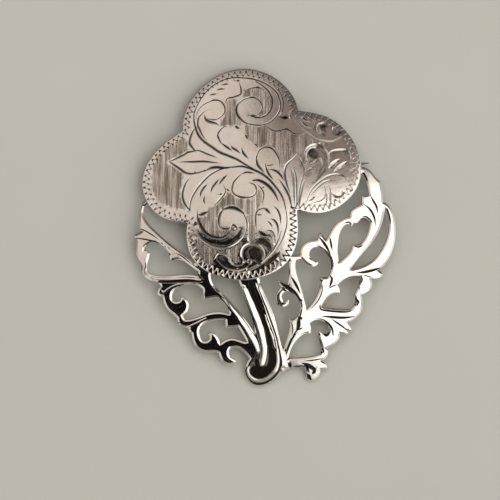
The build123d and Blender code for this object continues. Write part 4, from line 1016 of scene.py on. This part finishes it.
def back_silver(name):
    """The plain back: matt silver, brushed one way, with tarnish clouds and small scratches."""
    s = Shader(name)
    cloud = s.span(s.noise((1, 1, 1), 0.16, 5.0, 0.6), 0.35, 0.7, 0.0, 1.0)
    s.put(s.surface.inputs["Base Color"], s.blend(cloud, (0.78, 0.75, 0.71, 1), (0.5, 0.45, 0.39, 1)))
    s.surface.inputs["Metallic"].default_value = 1.0
    brush = s.noise((0.35, 7, 1), 1.6, 5.0, 0.65)
    pits = s.noise((1, 1, 1), 5.0, 3.0)
    s.put(s.surface.inputs["Roughness"], s.span(brush, 0.3, 0.7, 0.24, 0.46))
    height = s.maths("ADD", s.maths("MULTIPLY", brush, 0.02), s.maths("MULTIPLY", pits, 0.006))
    bump = s.add("Bump", {"Height": height, "Distance": MM, "Strength": 1.0})
    s.put(s.surface.inputs["Normal"], bump.outputs[0])
    return s.material


def wire_silver(name):
    """The pin: drawn wire, greyer than the plate, with marks along its length."""
    s = Shader(name)
    cloud = s.span(s.noise((0.4, 1.6, 1.6), 1.0, 4.0), 0.35, 0.7, 0.0, 1.0)
    s.put(s.surface.inputs["Base Color"], s.blend(cloud, (0.42, 0.385, 0.35, 1), (0.28, 0.25, 0.22, 1)))
    s.surface.inputs["Metallic"].default_value = 1.0
    drawn = s.noise((0.25, 9, 9), 1.2, 4.0, 0.6)
    s.put(s.surface.inputs["Roughness"], s.span(drawn, 0.3, 0.7, 0.22, 0.4))
    bump = s.add("Bump", {"Height": drawn, "Distance": 0.012 * MM, "Strength": 1.0})
    s.put(s.surface.inputs["Normal"], bump.outputs[0])
    return s.material


def pale_sheet(name):
    """The pale sheet that the brooch lies on."""
    s = Shader(name)
    tone = s.noise((1, 1, 1), 0.03, 3.0)
    s.put(s.surface.inputs["Base Color"], s.blend(tone, (0.48, 0.486, 0.447, 1), (0.52, 0.525, 0.485, 1)))
    s.surface.inputs["Roughness"].default_value = 0.7
    grain = s.noise((1, 1, 1), 1.5, 3.0)
    bump = s.add("Bump", {"Height": grain, "Distance": 0.03 * MM, "Strength": 0.4})
    s.put(s.surface.inputs["Normal"], bump.outputs[0])
    return s.material


# What the polished lobes mirror: each patch's middle and its two radii in mm on the dome that mirrors it, its turn
# in degrees, how soft its edge is, and its colour.
SKY = [
    ((0, 0), (90, 90), 0, 0.4, (0.10, 0.085, 0.075)),
    ((-12, 14), (38, 38), 0, 0.35, (0.72, 0.63, 0.56)),
    ((400, -120), (330, 300), 0, 0.15, (1.3, 1.25, 1.18)),
    ((-62, -30), (34, 44), 0, 0.3, (0.7, 0.66, 0.6)),
    ((38, -52), (34, 30), 0, 0.3, (1.3, 1.25, 1.18)),
    ((10.6, 19.5), (15, 10.5), -45, 0.45, (0.25, 0.195, 0.17)),
    ((14, 2.5), (11, 4.4), 14, 0.45, (1.2, 1.12, 1.02)),
    ((38, 6), (17, 10), 0, 0.3, (1.4, 1.35, 1.27)),
    ((30, -17), (26, 23), -10, 0.2, (1.5, 1.45, 1.37)),
    ((56, -12), (20, 24), 0, 0.25, (1.3, 1.25, 1.18)),
    ((9.7, -6.5), (5.8, 9), 0, 0.22, (1.35, 1.28, 1.18)),
    ((-9.5, -16), (15.5, 15), 0, 0.1, (0.006, 0.005, 0.005)),
    ((-2.5, -6.8), (5.8, 4.9), 0, 0.12, (0.006, 0.005, 0.005)),
    ((-15.9, -5.7), (4.1, 1.5), -30, 0.15, (0.72, 0.63, 0.56)),
]


def studio():
    """Plain soft studio surroundings."""
    world = bpy.data.worlds.new("studio")
    bpy.context.scene.world = world
    world.use_nodes = True
    tree = world.node_tree
    links, nodes = tree.links, tree.nodes
    back = nodes["Background"]

    def maths(kind, a, b=0.0):
        node = nodes.new("ShaderNodeMath")
        node.operation = kind
        for socket, value in zip(node.inputs, (a, b)):
            if isinstance(value, bpy.types.NodeSocket):
                links.new(value, socket)
            else:
                socket.default_value = value
        return node.outputs[0]

    split = nodes.new("ShaderNodeSeparateXYZ")
    links.new(nodes.new("ShaderNodeTexCoord").outputs["Generated"], split.inputs[0])
    up = maths("MAXIMUM", split.outputs["Z"], 0.03)
    x = maths("DIVIDE", maths("DIVIDE", split.outputs["X"], up), 0.0239)
    y = maths("DIVIDE", maths("DIVIDE", split.outputs["Y"], up), 0.0239)
    colour = (0.36, 0.34, 0.315, 1)
    for (cx, cy), (rx, ry), turn, soft, shine in SKY:
        c, s = math.cos(math.radians(turn)), math.sin(math.radians(turn))
        dx, dy = maths("SUBTRACT", x, cx), maths("SUBTRACT", y, cy)
        along = maths("DIVIDE", maths("ADD", maths("MULTIPLY", dx, c), maths("MULTIPLY", dy, s)), rx)
        across = maths("DIVIDE", maths("SUBTRACT", maths("MULTIPLY", dy, c), maths("MULTIPLY", dx, s)), ry)
        far = maths("SQRT", maths("ADD", maths("MULTIPLY", along, along), maths("MULTIPLY", across, across)))
        share = nodes.new("ShaderNodeMapRange")
        share.interpolation_type = "SMOOTHSTEP"
        links.new(far, share.inputs[0])
        for k, value in ((1, 1 - soft), (2, 1 + soft), (3, 1.0), (4, 0.0)):
            share.inputs[k].default_value = value
        mix = nodes.new("ShaderNodeMix")
        mix.data_type = "RGBA"
        links.new(share.outputs[0], mix.inputs[0])
        if isinstance(colour, tuple):
            mix.inputs[6].default_value = colour
        else:
            links.new(colour, mix.inputs[6])
        mix.inputs[7].default_value = shine + (1,)
        colour = mix.outputs[2]
    links.new(colour, back.inputs["Color"])
    back.inputs["Strength"].default_value = 1.0


def build_floor():
    """The pale sheet under the brooch."""
    bm = bmesh.new()
    bmesh.ops.create_grid(bm, x_segments=8, y_segments=8, size=1.5)
    mesh = bpy.data.meshes.new("floor")
    bm.to_mesh(mesh)
    bm.free()
    mesh.materials.append(pale_sheet("pale_sheet"))
    floor = bpy.data.objects.new("floor", mesh)
    floor.location.z = -0.0001
    bpy.context.scene.collection.objects.link(floor)


def build_lights():
    """A large soft light from above."""
    light = bpy.data.lights.new("soft_top", "AREA")
    light.shape = "SQUARE"
    light.size = 0.8
    light.energy = 3.75
    lamp = bpy.data.objects.new("soft_top", light)
    lamp.location = (0.16, 0.22, 0.8)
    light.color = (1.0, 0.965, 0.94)
    lamp.rotation_euler = Vector(lamp.location).to_track_quat("Z", "Y").to_euler()
    lamp.visible_glossy = False
    bpy.context.scene.collection.objects.link(lamp)


def build_camera():
    """The photograph's camera: straight down, from as far as a phone is held."""
    data = bpy.data.cameras.new("camera")
    data.sensor_width = 36.0
    data.lens = 36.0 * (CAMERA_HEIGHT - 5.0) / VIEW_WIDTH
    data.clip_start = 0.01
    camera = bpy.data.objects.new("camera", data)
    camera.location = (VIEW_MIDDLE[0] * MM, VIEW_MIDDLE[1] * MM, CAMERA_HEIGHT * MM)
    bpy.context.scene.collection.objects.link(camera)
    bpy.context.scene.camera = camera


def dress():
    """Builds every piece, hangs each on the root body, hides the imported plate and gives the pin its wire silver."""
    lobes_silver = engraved_silver("lobes_silver", (0.88, 0.86, 0.83, 1), (0.7, 0.62, 0.54, 1), (0.045, 0.036, 0.03, 1), 0.05, 1.15)
    leaves_silver = engraved_silver("leaves_silver", (0.9, 0.88, 0.85, 1), (0.7, 0.65, 0.58, 1), (0.03, 0.024, 0.02, 1), 0.03, 1.25)
    edge_silver = sawn_silver("sawn_silver")
    fronts = [build_lobes([lobes_silver, edge_silver]), build_leaves([leaves_silver, edge_silver])]
    for thing in fronts + [build_back(back_silver("back_silver"))]:
        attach(thing, "root")
        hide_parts("plate")
    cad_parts["pin_stem"].material_slots[0].material = wire_silver("wire_silver")


dress()
studio()
build_lights()
build_floor()
build_camera()
bpy.context.scene.view_settings.view_transform = "Standard"
